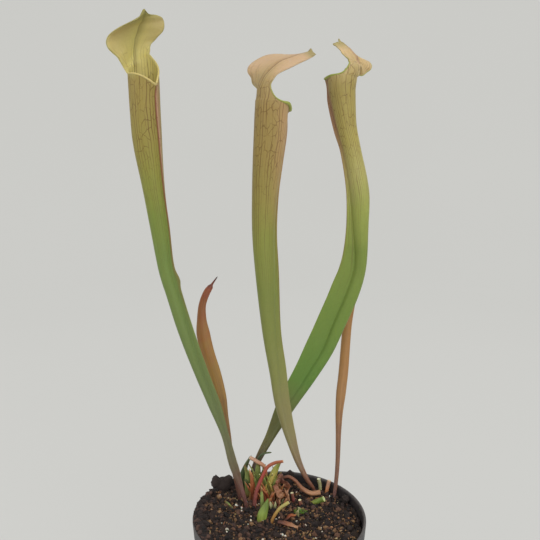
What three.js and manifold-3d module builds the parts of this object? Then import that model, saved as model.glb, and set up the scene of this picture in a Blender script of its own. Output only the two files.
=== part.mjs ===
// A sweet pitcher plant in a round nursery pot, in millimetres, +Z up.
// The origin is the centre of the pot's base. -Y is the side that the plant is seen from.
// The pot holds the soil, the rhizome lies in the soil's surface, and every leaf, stub and dry
// piece stands in a plain hole in the soil or lies in a hollow of it.

import * as THREE from 'three'
import { mergeVertices } from 'three/addons/utils/BufferGeometryUtils.js'
import Module from 'manifold-3d'

const wasm = await Module()
wasm.setup()

// Driving dimensions.
const POT_HEIGHT = 80
const RIM_RADIUS = 45
const BASE_RADIUS = 31.5
const POT_WALL = 1.2
const RIM_BAND = 9
const RIM_STEP = 1.4
const DRAIN_HOLES = 6
const DRAIN_RADIUS = 3
const DRAIN_CIRCLE = 24
const SOIL_LEVEL = 74.5
const SOIL_HEAP = 5.5
const SOIL_FLOOR = 1.6
const GAP = 0.3
const SHEET = 0.8
const WING_THICKNESS = 0.7
const HOLLOW_FROM_RADIUS = 2.6

// Round an edge of the pot and around each pitcher, in segments.
const POT_SEGMENTS = 36
const SOIL_RINGS = 10
const PITCHER_COLUMNS = 12
const PITCHER_ROWS = 22
const SHOOT_SIDES = 7
const HOLE_TOP = 88

// Rows of a mouth: they crowd toward the last one by the power, and keep a share of even climb.
const MOUTH_ROWS = 5
const MOUTH_POWER = 0.8
const MOUTH_EVEN = 0.15

// A hood folds along its rib over its first rows, and each side stays mostly straight.
const FOLD_ROWS = 4
const FOLD_STRAIGHT = 0.7

// A pitcher's tube, from its foot to the mouth's front lip: each station is
// x, y, z of the centre, the tube's radius, the wing's height and the side it faces in degrees.
// Its mouth is how high the wall stands over the front lip at the first margin and at the
// second, the power of that climb, how far the gap opens to each side of the front in radians,
// how far the rows move back, and the power of that move.
// Its hood, from the column to the tip: each row is a margin, the rib and the other margin.
const PITCHERS = {
  pitcher_left: {
    colour: 0x8f9a55,
    tube: [
      [-17, 10, 68.5, 1, 0, -15],
      [-17.2, 10, 76, 1, 0, -15],
      [-20.5, 10, 89, 1.1, 0.4, -15],
      [-25.2, 9, 102, 1.3, 2.4, -15],
      [-29, 8.5, 118, 1.1, 2.1, -15],
      [-35.1, 8, 136, 1.9, 3.3, -15],
      [-41.5, 7, 154, 2.25, 3.2, -15],
      [-48.1, 6, 175, 2.9, 2.6, -15],
      [-54.1, 5.6, 197, 3.2, 2.3, -18],
      [-55.5, 5.5, 202, 3.3, 3.4, -20],
      [-56.9, 5.4, 208.5, 3.5, 1.8, -21],
      [-59.2, 5, 230, 4.6, 1.2, -30],
      [-61.4, 4.5, 249, 5.4, 1, -42],
      [-63.5, 4, 270, 7, 0.8, -45],
      [-64.1, 3.5, 284, 7.5, 0.7, -46],
      [-64, 3.2, 296.5, 7.6, 0.4, -46],
    ],
    mouth: [4.9, 14.8, 1, 2, 0, 1],
    hood: [
      [[-73, 1.5, 304], [-70, 9, 309], [-62.5, 11, 313.5]],
      [[-74, 0, 306.5], [-70.5, 9.5, 311.5], [-62.5, 11.5, 315]],
      [[-75, -1.5, 308.5], [-70.5, 9.5, 314], [-62, 12, 317]],
      [[-77, -3, 310], [-70, 9.5, 316.5], [-60, 12.5, 319]],
      [[-78.5, -4.5, 311.5], [-69.5, 9, 319], [-58.5, 12, 320.5]],
      [[-79, -5, 314], [-68.5, 8.5, 321], [-56.5, 12, 322.5]],
      [[-78, -5, 316.5], [-67.5, 7.5, 323], [-55.5, 11.5, 324.5]],
      [[-75.5, -5, 319], [-66.5, 6.5, 325], [-55.5, 11, 327]],
      [[-72, -4.5, 321.5], [-65, 5.5, 326.5], [-56.5, 9.5, 328.5]],
      [[-68.5, -3, 323.5], [-64, 4, 328], [-59.5, 8, 329]],
      [[-65, -1, 325.5], [-63, 2.5, 329], [-61.5, 5, 329]],
      [[-63, 0.5, 329.5], [-62.5, 1, 330], [-62, 1.5, 329.5]],
    ],
  },
  pitcher_middle: {
    colour: 0x9aa060,
    tube: [
      [20.6, 30.4, 67.5, 1, 0, 30],
      [20.6, 31.6, 75, 1, 0, 30],
      [16.5, 30, 82, 1, 0.5, 30],
      [10.7, 27, 94, 1, 1.9, 30],
      [5.1, 24, 110, 1.1, 4.3, 30],
      [-0.1, 20, 131, 1.9, 5.4, 30],
      [-2.5, 18, 150, 2.5, 5.1, 30],
      [-5.2, 17, 172, 3.5, 3.8, 30],
      [-7.3, 17.5, 204, 5.1, 3.2, 30],
      [-8.2, 18, 225, 5.8, 2.3, 30],
      [-7.5, 18, 245, 6.5, 1.8, 30],
      [-6.2, 18, 261, 7.4, 1.8, 30],
      [-4.7, 18, 277, 8.2, 1.8, 30],
      [-3.9, 18, 290.5, 8.3, 0.4, 30],
    ],
    mouth: [5.2, 6, 9, 2.25, -0.6, 2],
    hood: [
      [[-4.5, 10.5, 298], [-9.5, 14, 298.5], [-13.5, 24.5, 300]],
      [[-3, 10, 300.5], [-7.5, 14.5, 302.5], [-14.5, 26.5, 303.5]],
      [[-1, 10.5, 303], [-5.5, 15.5, 305], [-16, 28, 306.5]],
      [[2, 12, 305], [-3, 17, 307.5], [-15.5, 29, 309.5]],
      [[6, 15, 307], [0.5, 19.5, 310.5], [-12, 31, 313]],
      [[9.5, 18, 309], [4.5, 22.5, 312.5], [-6.5, 32, 315.5]],
      [[12.5, 21, 311], [9, 25.5, 314.5], [1, 33, 316]],
      [[15.5, 24.5, 313], [12.5, 28, 316], [7.5, 33.5, 315.5]],
      [[17, 27.5, 314], [15, 30, 317], [13, 33, 316]],
      [[18.5, 29.5, 315.5], [17, 30.5, 317], [16, 31, 318.5]],
    ],
  },
  pitcher_right: {
    colour: 0x8c9a52,
    tube: [
      [-15, 30, 68.5, 1, 0, 180],
      [-14.8, 30.5, 77, 1, 0.2, 180],
      [-13.5, 32.5, 87, 1.1, 1.1, 180],
      [-10, 34, 94, 1.1, 1.9, 180],
      [-4, 36, 104, 1.2, 2.9, 180],
      [7.5, 38, 123.2, 2.2, 6.5, 180],
      [18.9, 39, 140.7, 2.8, 8.2, 180],
      [28, 39.5, 156, 3.1, 10, 180],
      [34.2, 40, 171, 3.5, 9.3, 180],
      [41.1, 40, 188, 3.6, 9.2, 180],
      [45.4, 40, 204, 3.3, 8.1, 180],
      [45.1, 40, 227, 4.3, 3.7, 180],
      [44, 40, 246, 5.2, 2.1, 180],
      [39.3, 40, 268, 4.9, 1.4, 180],
      [36.2, 40, 280, 5.5, 1.6, 180],
      [33.9, 40, 294, 6.9, 1.3, 180],
      [33.2, 40, 300, 7.5, 0.4, 180],
      [33.3, 40, 305.5, 8, 0.4, 180],
    ],
    mouth: [6, 6, 8, 1.71, 1.6, 2],
    hood: [
      [[44.5, 46.5, 307.5], [43.5, 42, 312], [36.5, 34, 312]],
      [[47.5, 48.5, 309.5], [43, 42, 313], [36, 33.5, 313]],
      [[50, 49.5, 311.5], [42.5, 42, 314], [35.5, 33, 314]],
      [[50.5, 50, 313.5], [42, 42, 315], [34.5, 32.5, 314.5]],
      [[49, 50, 315.5], [41.5, 41.5, 316.5], [33.5, 32, 315.5]],
      [[46, 49, 316], [40.5, 41, 317.5], [32.5, 32, 316.5]],
      [[42.5, 47.5, 316.5], [39, 40.5, 319], [31.5, 32.5, 318]],
      [[38.5, 45.5, 319], [37.5, 40, 320.5], [30.5, 33, 319]],
      [[35.5, 43.5, 321], [35.5, 40, 322], [29.5, 34.5, 320.5]],
      [[33.5, 42, 323], [33.5, 40, 323.5], [28, 36.5, 322]],
      [[31.5, 41, 325.5], [31.5, 40, 324], [30, 38.5, 323]],
    ],
  },
}

// Solid leaves, cut stubs and dry pieces: each point is x, y, z of the centre and the half
// width, thin is the thickness as a part of the width, and across is the broad direction.
const SHOOTS = {
  young_pitcher: {
    colour: 0x8f6a3e, thin: 0.55, across: [1, 0, 0], rows: 22,
    points: [
      [-21, 17.5, 68.5, 1], [-21, 17.5, 76, 1], [-22.5, 17, 84, 1], [-24.5, 17, 94, 1.1],
      [-26, 17, 104, 1.2], [-27.5, 17, 115, 1.6], [-29.5, 17, 126, 2.3], [-31.7, 16.5, 138, 3.5],
      [-34.7, 16.5, 151, 3.7], [-37.8, 16, 162, 3.7], [-39.8, 16, 172, 3.6], [-40.5, 16, 180, 2.5],
      [-40, 16, 188, 1.9], [-37, 16, 196, 1.6], [-32.5, 16, 202, 0.5],
    ],
  },
  tan_pitcher: {
    colour: 0xa5804f, thin: 0.7, across: [1, 0, 0], rows: 20,
    points: [
      [28.5, 23.6, 67, 1], [31.4, 25.2, 75, 1], [33, 28.6, 84, 1.15], [34, 32.5, 93, 1.25],
      [34.8, 38, 106, 1.55], [35.5, 42, 118, 2.15], [36.8, 45.5, 129, 2.85], [38.2, 48, 140, 2.85],
      [40.5, 52, 168, 2.65], [42.5, 53, 181, 2.55], [44.5, 54, 193, 2.25], [45.5, 54, 205, 1.55],
      [45.5, 54, 213, 0.6],
    ],
  },
  red_stub: {
    colour: 0xa0503c, thin: 0.85, across: [1, 0, 0], rows: 10,
    points: [
      [-13.2, 11.5, 69.5, 1.3], [-13.4, 11.5, 76, 1.4], [-12, 13.5, 85, 1.4], [-9.4, 15.5, 91, 1.3],
      [-6, 17, 97, 1.2], [-1.5, 17.5, 99.3, 1.1], [2.3, 17, 100.2, 1],
    ],
  },
  orange_stub: {
    colour: 0xc98a62, thin: 0.8, across: [0, 1, 0], rows: 10,
    points: [
      [-6.5, 23.5, 71, 1.2], [-6.8, 23.5, 80, 1.2], [-7, 23.8, 88, 1.2], [-8.3, 24, 93.8, 1.3],
      [-12, 24, 96.6, 1.3], [-16, 24, 99, 1.2],
    ],
  },
  back_leaf_base: {
    colour: 0x4a5a32, thin: 0.3, across: [1, 0.3, 0], rows: 8,
    points: [
      [-20.5, 26.5, 69, 1.6], [-20.8, 26.5, 78, 2.4], [-20.2, 26.5, 86, 2.2], [-18.4, 27, 92.5, 1.3],
      [-15.8, 28, 97.5, 0.5],
    ],
  },
  left_leaf_base: {
    colour: 0x6f8a3c, thin: 0.3, across: [1, -0.2, 0], rows: 8,
    points: [
      [-16.6, 22.5, 69, 1.4], [-16.8, 22.5, 79, 2.2], [-17.4, 22.5, 87, 1.7], [-18, 23, 93, 0.5],
    ],
  },
  rust_leaf_base: {
    colour: 0xb5623a, thin: 0.5, across: [1, 0, 0], rows: 8,
    points: [
      [-14.2, 19, 69, 1.1], [-14.4, 19, 80, 1.5], [-14.6, 19, 88, 1.2], [-16, 19, 94, 0.4],
    ],
  },
  middle_leaf_base: {
    colour: 0x86a045, thin: 0.35, across: [1, 0, 0], rows: 8,
    points: [
      [-12, 25, 69, 1.4], [-12, 25, 80, 2], [-11.8, 25.2, 88, 1.8], [-11.3, 26, 95, 1.1],
    ],
  },
  right_leaf_base: {
    colour: 0xa3b04f, thin: 0.3, across: [1, 0.2, 0.3], rows: 8,
    points: [
      [-4.6, 20, 70, 1.2], [-4.8, 20, 80, 2], [-3.6, 20.8, 88, 2.2], [-1.2, 21.6, 94, 1.6],
      [1, 22, 97, 0.5],
    ],
  },
  hooked_leaf_base: {
    colour: 0x5d5b33, thin: 0.6, across: [0, 1, 0], rows: 10,
    points: [
      [-12.5, 29, 69, 1], [-12.8, 29, 82, 1.1], [-12.4, 29, 92, 1], [-10.4, 28.6, 97.5, 1],
      [-7.6, 28.3, 99.4, 0.8], [-4.6, 28, 100, 0.4],
    ],
  },
  juvenile_pitcher: {
    colour: 0x7da43c, thin: 0.6, across: [1, 0, 0], rows: 10,
    points: [
      [-9, -0.8, 69, 1.2], [-9.2, -0.6, 74.5, 2.3], [-8.8, -0.2, 79, 2.2], [-7.5, 0.8, 83, 1.4],
      [-6.3, 1.8, 88, 0.4],
    ],
  },
  thin_shoot: {
    colour: 0x8aa84e, thin: 0.7, across: [1, 0, 0], rows: 7,
    points: [[-9, 5, 69.5, 0.9], [-9, 5, 79, 1], [-9.1, 5, 86, 0.9], [-9.4, 5, 90.5, 0.4]],
  },
  yellow_stub: {
    colour: 0xc3b04e, thin: 0.9, across: [1, 0, 0], rows: 8,
    points: [
      [-4.4, -2, 69.5, 1], [-4.2, -1.4, 75, 1], [-2.2, 0, 79, 1.1], [0.6, 1.4, 82, 1.1], [5, 3, 84.2, 1.1],
    ],
  },
  dry_petiole: {
    colour: 0x7c5340, thin: 0.5, across: [0.3, 1, 0], rows: 6,
    points: [[-0.6, -3, 77, 1.2], [3, -4, 76.6, 1.6], [6.2, -5.2, 76.4, 1.4], [9.4, -6.6, 76, 0.8]],
  },
  pale_stub: {
    colour: 0xb9b98a, thin: 0.9, across: [1, 0, 0], rows: 4,
    points: [[23.4, 30.8, 69.5, 1], [24.2, 32, 76, 1], [23.2, 31.8, 82, 1]],
  },
  orange_cut_stub: {
    colour: 0xc9804e, thin: 0.9, across: [1, 0, 0], rows: 4,
    points: [[26.2, 28.4, 69.5, 1], [28, 30.2, 76.5, 1.1], [29.2, 31, 81.4, 1.1]],
  },
  ring_stub: {
    colour: 0xa9bd52, thin: 0.9, across: [1, 0, 0], rows: 5,
    points: [[17.4, 20.6, 72.5, 1.4], [21, 19.8, 74.8, 1.5], [25.2, 18.8, 77, 1.6]],
  },
  small_stub_left: {
    colour: 0x8e4a44, thin: 0.9, across: [1, 0, 0], rows: 4,
    points: [[8.4, 21.5, 69.5, 0.9], [8.2, 21.3, 75, 0.9], [7.4, 21, 79.4, 0.9]],
  },
  small_stub_right: {
    colour: 0x8e5a48, thin: 0.9, across: [1, 0, 0], rows: 4,
    points: [[12.4, 17, 69.5, 0.9], [12.2, 16.8, 74, 0.9], [11.6, 16.4, 77.8, 0.9]],
  },
  rust_scrap: {
    colour: 0xa8592e, thin: 0.5, across: [0.5, -1, 0.4], rows: 5,
    points: [[2.6, 0.6, 75, 0.8], [5.8, 3.4, 76.2, 1.5], [8.8, 6, 75.2, 0.8]],
  },
  green_scrap: {
    colour: 0x8f9a63, thin: 0.6, across: [0, 0, 1], rows: 5,
    points: [[-30.4, 14.4, 78.6, 0.7], [-27.8, 11.2, 78.6, 1], [-25.2, 8, 78.2, 0.7]],
  },
}

// The dead leaf: a pink petiole that bends down to the right, and the blade's dry folds.
const DEAD_LEAF = {
  colour: 0xb0704a,
  strips: [
    {
      thin: 0.8, across: [0, 1, 0], rows: 14,
      points: [
        [-1, 24.6, 84.5, 0.9], [2.5, 24.8, 86.4, 0.9], [5.6, 25, 87, 1], [9.3, 25, 84.6, 1.2],
        [13.4, 25, 79.8, 1.4], [18.2, 25, 77, 1.6], [23.4, 26.4, 76.6, 1.7],
      ],
    },
    {
      thin: 0.35, across: [0.3, 0.6, 1], rows: 12,
      points: [
        [0.5, 24.6, 85.6, 0.9], [1.5, 22, 88.5, 1.6], [0, 18.5, 89, 1.9], [-1.5, 15.5, 86.5, 1.7],
        [0, 14, 83, 1.8], [2, 16, 80.5, 1.6], [0.5, 17.5, 78, 1],
      ],
    },
    {
      thin: 0.35, across: [0.6, -0.4, 1], rows: 10,
      points: [
        [0.2, 18.8, 88.6, 1], [3, 17.5, 87.5, 1.7], [5, 19, 84, 1.8], [4, 17, 81, 1.6],
        [5.6, 15, 79, 0.8],
      ],
    },
  ],
}

// The rhizome: x, y, z of its line and its radius, and a side branch to the right pitcher.
const RHIZOME = [
  [-23, 8, 70, 2.6], [-16, 14, 71.5, 4.4], [-9, 20, 72.5, 4.8], [0, 24, 72, 4.2],
  [9, 27, 69.5, 3.8], [19, 28.5, 67.5, 3.4], [27.5, 24, 66.5, 2.6],
]
const RHIZOME_BRANCH = [[-9, 21, 71.5, 4.2], [-13, 27, 70.5, 3.8], [-17, 31.5, 69, 2.6]]
const RHIZOME_RING = 5
const RHIZOME_SIDES = 8

// Loose soil: a count of crumbs, their sizes, and the big clod on the rim at the back left.
const CRUMBS = 24
const CRUMB_SMALL = 1.1
const CRUMB_LARGE = 2.6
const BIG_CLOD = [-31.5, 29, 79.5, 5.2]
const BACK_CLODS = [[10.5, 39, 77, 3], [5, 39.5, 76.5, 2.4], [37, 18, 77.5, 2.2], [-40.5, 10, 79.5, 2.4]]

// A seeded draw, so that the soil is the same every time.
function draws(seed) {
  let state = seed
  return () => {
    state = (state * 1664525 + 1013904223) % 4294967296
    return state / 4294967296
  }
}

// Smooth noise from crossed waves, between about -1 and 1.
function waves(x, y, z) {
  const a = Math.sin(1.3 * x + 0.7 * y + 1.1 * z) + Math.sin(0.8 * x - 1.5 * y + 0.6 * z + 2)
  const b = Math.sin(2.9 * x + 1.9 * y - 1.7 * z + 4) * 0.6 + Math.sin(2.1 * y - 2.6 * x + 1) * 0.5
  return (a + b) / 3.1
}

// A curve through points that also carries the fourth number of each.
function carriedCurve(points) {
  const line = new THREE.CatmullRomCurve3(points.map((p) => new THREE.Vector3(p[0], p[1], p[2])))
  const sizes = points.map((p) => new THREE.Vector3(p[3], p[4] ?? 0, p[5] ?? 0))
  const carried = new THREE.CatmullRomCurve3(sizes)
  return { line, carried }
}

// A solid between rings of points, each with the same count, closed by a fan at both ends.
function ringSolid(rings) {
  const count = rings[0].length
  const position = rings.flat().flatMap((p) => [p.x, p.y, p.z])
  const index = []
  for (let j = 0; j + 1 < rings.length; j++) {
    for (let i = 0; i < count; i++) {
      const a = j * count + i
      const b = j * count + ((i + 1) % count)
      index.push(a, b, b + count, a, b + count, a + count)
    }
  }
  for (const [ring, flip] of [[0, true], [rings.length - 1, false]]) {
    const centre = rings[ring].reduce((sum, p) => sum.add(p), new THREE.Vector3()).divideScalar(count)
    position.push(centre.x, centre.y, centre.z)
    const middle = position.length / 3 - 1
    for (let i = 0; i < count; i++) {
      const a = ring * count + i
      const b = ring * count + ((i + 1) % count)
      index.push(...(flip ? [middle, b, a] : [middle, a, b]))
    }
  }
  const geometry = new THREE.BufferGeometry()
  geometry.setAttribute('position', new THREE.Float32BufferAttribute(position, 3))
  geometry.setIndex(index)
  return geometry
}

// A stem or flat shoot with an oval section along its points, swollen by grow for its hole.
function shoot({ points, thin, across, rows }, sides, grow = 0) {
  const { line, carried } = carriedCurve(points)
  const rings = []
  for (let j = 0; j <= rows; j++) {
    const t = j / rows
    const centre = line.getPoint(t)
    const along = line.getTangent(t)
    const half = carried.getPoint(t).x
    const broad = new THREE.Vector3(...across).addScaledVector(along, -along.dot(new THREE.Vector3(...across)))
    broad.normalize()
    const flat = new THREE.Vector3().crossVectors(along, broad)
    const depth = Math.max(half * thin, Math.min(half, 0.45)) + grow
    if (grow > 0 && j === rows) centre.addScaledVector(along, grow)
    if (grow > 0 && j === 0) centre.addScaledVector(along, -grow)
    const ring = []
    for (let i = 0; i < sides; i++) {
      const angle = (2 * Math.PI * i) / sides
      const p = centre.clone().addScaledVector(broad, (half + grow) * Math.cos(angle))
      ring.push(p.addScaledVector(flat, depth * Math.sin(angle)))
    }
    rings.push(ring)
  }
  return ringSolid(rings)
}

// A section's front and side, and its places by an angle from the back and a reach from the centre.
function sectionFrame(centre, along, facing) {
  const turn = THREE.MathUtils.degToRad(facing)
  const front = new THREE.Vector3(Math.cos(turn), Math.sin(turn), 0)
  front.addScaledVector(along, -front.dot(along)).normalize()
  const side = new THREE.Vector3().crossVectors(along, front)
  const at = (angle, reach) => centre.clone()
    .addScaledVector(front, -Math.cos(angle) * reach)
    .addScaledVector(side, Math.sin(angle) * reach)
  return { front, side, at }
}

// The closed section of a pitcher at one station, with the two edges of its wing at the ends.
function tubeSection(centre, along, radius, wing, facing) {
  const { side, at } = sectionFrame(centre, along, facing)
  const shoulder = Math.PI - Math.asin(0.5 / Math.max(radius, 0.6))
  const points = []
  const inner = []
  for (let i = 0; i <= PITCHER_COLUMNS; i++) {
    const angle = shoulder * ((2 * (i - 1)) / (PITCHER_COLUMNS - 2) - 1)
    points.push(at(angle, radius))
    inner.push(at(angle, radius - SHEET))
  }
  points[0] = at(Math.PI, radius + wing).addScaledVector(side, -WING_THICKNESS / 2)
  points[PITCHER_COLUMNS] = at(Math.PI, radius + wing).addScaledVector(side, WING_THICKNESS / 2)
  inner[0] = at(Math.PI, radius - SHEET)
  inner[PITCHER_COLUMNS] = inner[0].clone()
  return { points, inner }
}

// A row of the mouth: an arc round the back that rises from one margin to the other.
function mouthSection([x, y, z, radius, , facing], along, [first, second, climb, gap, back, lean], part) {
  const rise = MOUTH_EVEN * part + (1 - MOUTH_EVEN) * part ** climb
  const edge = Math.PI - gap * part
  const { front, at } = sectionFrame(new THREE.Vector3(x, y, z), along, facing)
  const points = []
  const inner = []
  for (let i = 0; i <= PITCHER_COLUMNS; i++) {
    const q = (2 * i) / PITCHER_COLUMNS - 1
    const lift = rise * ((second + first) / 2 + ((second - first) / 2) * q)
    for (const [row, reach] of [[points, radius], [inner, radius - SHEET]]) {
      row.push(at(edge * q, reach).addScaledVector(along, lift).addScaledVector(front, -back * part ** lean))
    }
  }
  return { points, inner }
}

// A hood row through one margin, the rib and the other margin: a smooth curve, or bent at the rib.
function hoodSection(corners, fold) {
  const [low, rib, high] = corners.map((corner) => new THREE.Vector3(...corner))
  const points = []
  for (let i = 0; i <= PITCHER_COLUMNS; i++) {
    const q = (2 * i) / PITCHER_COLUMNS - 1
    const out = Math.abs(q)
    const smooth = rib.clone().multiplyScalar(1 - q * q)
      .addScaledVector(low, (q * q - q) / 2)
      .addScaledVector(high, (q * q + q) / 2)
    const bent = rib.clone().lerp(q < 0 ? low : high, FOLD_STRAIGHT * out + (1 - FOLD_STRAIGHT) * out * out)
    points.push(smooth.lerp(bent, fold))
  }
  return points
}

// A pitcher is one sheet: solid stalk, hollow tube with its wing, oblique mouth and hood.
function pitcherGeometry({ tube, mouth, hood }) {
  const { line, carried } = carriedCurve(tube)
  const outer = []
  const inner = []
  let hollowFrom = -1
  for (let j = 0; j <= PITCHER_ROWS; j++) {
    const t = j / PITCHER_ROWS
    const size = carried.getPoint(t)
    const section = tubeSection(line.getPoint(t), line.getTangent(t), size.x, Math.max(size.y, 0), size.z)
    outer.push(section.points)
    inner.push(section.inner)
    if (hollowFrom < 0 && size.x > HOLLOW_FROM_RADIUS) hollowFrom = j
  }
  const lastClosed = PITCHER_ROWS
  const top = tube[tube.length - 1]
  for (let k = 1; k <= MOUTH_ROWS; k++) {
    const section = mouthSection(top, line.getTangent(1), mouth, (k / MOUTH_ROWS) ** MOUTH_POWER)
    outer.push(section.points)
    inner.push(section.inner)
  }
  for (const [k, row] of hood.entries()) outer.push(hoodSection(row, Math.min((k + 1) / FOLD_ROWS, 1)))

  // Past the mouth the inner face is the outer face moved in along its own normal.
  for (let j = inner.length; j < outer.length; j++) {
    const below = outer[j - 1]
    const above = outer[Math.min(j + 1, outer.length - 1)]
    inner.push(outer[j].map((p, i) => {
      const left = outer[j][Math.max(i - 1, 0)]
      const right = outer[j][Math.min(i + 1, PITCHER_COLUMNS)]
      const round = new THREE.Vector3().subVectors(right, left)
      const up = new THREE.Vector3().subVectors(above[i], below[i])
      const out = new THREE.Vector3().crossVectors(up, round).normalize()
      return p.clone().addScaledVector(out, -SHEET)
    }))
  }

  const width = PITCHER_COLUMNS + 1
  const position = []
  for (const row of outer) for (const p of row) position.push(p.x, p.y, p.z)
  const innerStart = outer.length * width
  for (const row of inner) for (const p of row) position.push(p.x, p.y, p.z)
  const out = (j, i) => j * width + i
  const within = (j, i) => innerStart + j * width + i
  const index = []
  const n = PITCHER_COLUMNS
  const rows = outer.length
  const quad = (a, b, c, d) => index.push(a, b, c, a, c, d)
  for (let j = 0; j + 1 < rows; j++) {
    for (let i = 0; i < n; i++) {
      quad(out(j, i), out(j + 1, i), out(j + 1, i + 1), out(j, i + 1))
      if (j >= hollowFrom) quad(within(j, i + 1), within(j + 1, i + 1), within(j + 1, i), within(j, i))
    }
    if (j < lastClosed) {
      quad(out(j, n), out(j + 1, n), out(j + 1, 0), out(j, 0))
    } else {
      quad(out(j, 0), within(j, 0), within(j + 1, 0), out(j + 1, 0))
      quad(out(j + 1, n), within(j + 1, n), within(j, n), out(j, n))
    }
  }
  index.push(out(lastClosed, n), within(lastClosed, 0), out(lastClosed, 0))
  for (let i = 0; i < n; i++) {
    quad(out(rows - 1, i), within(rows - 1, i), within(rows - 1, i + 1), out(rows - 1, i + 1))
  }

  // The foot and the floor of the hollow are closed by fans.
  const foot = new THREE.Vector3(...tube[0].slice(0, 3))
  position.push(foot.x, foot.y, foot.z)
  const footPoint = position.length / 3 - 1
  for (let i = 0; i < n; i++) index.push(footPoint, out(0, i), out(0, i + 1))
  index.push(footPoint, out(0, n), out(0, 0))
  const floor = line.getPoint(hollowFrom / PITCHER_ROWS)
  position.push(floor.x, floor.y, floor.z)
  const floorPoint = position.length / 3 - 1
  for (let i = 0; i < n; i++) index.push(floorPoint, within(hollowFrom, i + 1), within(hollowFrom, i))

  const geometry = new THREE.BufferGeometry()
  geometry.setAttribute('position', new THREE.Float32BufferAttribute(position, 3))
  geometry.setIndex(index)
  return geometry
}

// The foot of a leaf below the top of the soil, swollen for the hole that it stands in.
function footHole(points, thin, across) {
  const above = points.findIndex((p) => p[2] > HOLE_TOP)
  const foot = above < 0 ? points : points.slice(0, Math.max(above, 2) + 1)
  return toSolid(shoot({ points: foot, thin, across, rows: 5 }, SHOOT_SIDES, GAP * 1.5))
}

// A part of the geometry that the boolean library needs: joined corners and nothing else.
function bare(geometry) {
  const copy = geometry.clone()
  copy.deleteAttribute('normal')
  copy.deleteAttribute('uv')
  return mergeVertices(copy, 1e-3)
}

function toSolid(geometry) {
  const joined = bare(geometry)
  const vertProperties = new Float32Array(joined.getAttribute('position').array)
  const triVerts = new Uint32Array(joined.getIndex().array)
  return new wasm.Manifold(new wasm.Mesh({ numProp: 3, vertProperties, triVerts }))
}

function toGeometry(solid) {
  const { vertProperties, triVerts } = solid.getMesh()
  const geometry = new THREE.BufferGeometry()
  geometry.setAttribute('position', new THREE.Float32BufferAttribute(vertProperties, 3))
  geometry.setIndex(new THREE.Uint32BufferAttribute(triVerts, 1))
  return geometry
}

// The largest piece of a solid, without the loose scraps that a cut leaves.
function largestPiece(solid) {
  return solid.decompose().sort((a, b) => b.volume() - a.volume())[0]
}

// The pot's wall: a tapered side, a step out to the rim band and a rounded lip.
function potGeometry() {
  const bandFoot = POT_HEIGHT - RIM_BAND
  const neck = RIM_RADIUS - RIM_STEP - 0.6
  const profile = [
    [0, 0], [BASE_RADIUS - 1, 0], [BASE_RADIUS, 1], [neck, bandFoot], [neck + RIM_STEP, bandFoot + 0.6],
    [RIM_RADIUS, POT_HEIGHT - 1], [RIM_RADIUS - 0.3, POT_HEIGHT], [RIM_RADIUS - POT_WALL, POT_HEIGHT],
    [RIM_RADIUS - POT_WALL - 0.3, POT_HEIGHT - 1], [neck + RIM_STEP - POT_WALL, bandFoot + 1.6],
    [neck - POT_WALL, bandFoot + 0.8], [BASE_RADIUS - POT_WALL, POT_WALL + 0.6],
    [BASE_RADIUS - POT_WALL - 0.8, POT_WALL], [0, POT_WALL],
  ]
  const lathe = new THREE.LatheGeometry(profile.map(([r, z]) => new THREE.Vector2(r, z)), POT_SEGMENTS)
  lathe.rotateX(Math.PI / 2)
  let pot = toSolid(lathe)
  for (let k = 0; k < DRAIN_HOLES; k++) {
    const hole = new THREE.CylinderGeometry(DRAIN_RADIUS, DRAIN_RADIUS, 6, 10)
    hole.rotateX(Math.PI / 2)
    const angle = (2 * Math.PI * (k + 0.5)) / DRAIN_HOLES
    hole.translate(DRAIN_CIRCLE * Math.cos(angle), DRAIN_CIRCLE * Math.sin(angle), 0)
    pot = pot.subtract(toSolid(hole))
  }
  return toGeometry(pot)
}

// The pot's inner radius at a height, less the gap that the soil keeps.
function soilRadius(z) {
  const bandFoot = POT_HEIGHT - RIM_BAND
  const neck = RIM_RADIUS - RIM_STEP - 0.6
  if (z > bandFoot) return RIM_RADIUS - POT_WALL - 0.6 - GAP
  const part = z / bandFoot
  return BASE_RADIUS + (neck - BASE_RADIUS) * part - POT_WALL - GAP - 0.2
}

// The soil's surface: level at the back right, heaped to the rim on the left.
function soilHeight(x, y) {
  const leftness = THREE.MathUtils.smoothstep(-x - 0.35 * y, -6, 38)
  const front = THREE.MathUtils.smoothstep(-y, 4, 40)
  const lumps = 0.9 * waves(0.42 * x, 0.42 * y, 0) + 0.55 * waves(1.1 * x, 1.1 * y, 3)
  return SOIL_LEVEL + SOIL_HEAP * Math.max(leftness, 0.45 * front) + lumps
}

function soilBody() {
  const rings = []
  const ringAt = (radius, height) => {
    const ring = []
    for (let i = 0; i < POT_SEGMENTS; i++) {
      const angle = (2 * Math.PI * i) / POT_SEGMENTS
      const x = radius * Math.cos(angle)
      const y = radius * Math.sin(angle)
      ring.push(new THREE.Vector3(x, y, height ?? soilHeight(x, y)))
    }
    return ring
  }
  const band = POT_HEIGHT - RIM_BAND
  rings.push(ringAt(soilRadius(SOIL_FLOOR) - 0.6, SOIL_FLOOR))
  rings.push(ringAt(soilRadius(SOIL_FLOOR + 1), SOIL_FLOOR + 1))
  rings.push(ringAt(soilRadius(band), band + 0.2))
  for (let k = 0; k < SOIL_RINGS; k++) rings.push(ringAt(soilRadius(band) * (1 - k / SOIL_RINGS)))
  return toSolid(ringSolid(rings))
}

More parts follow.
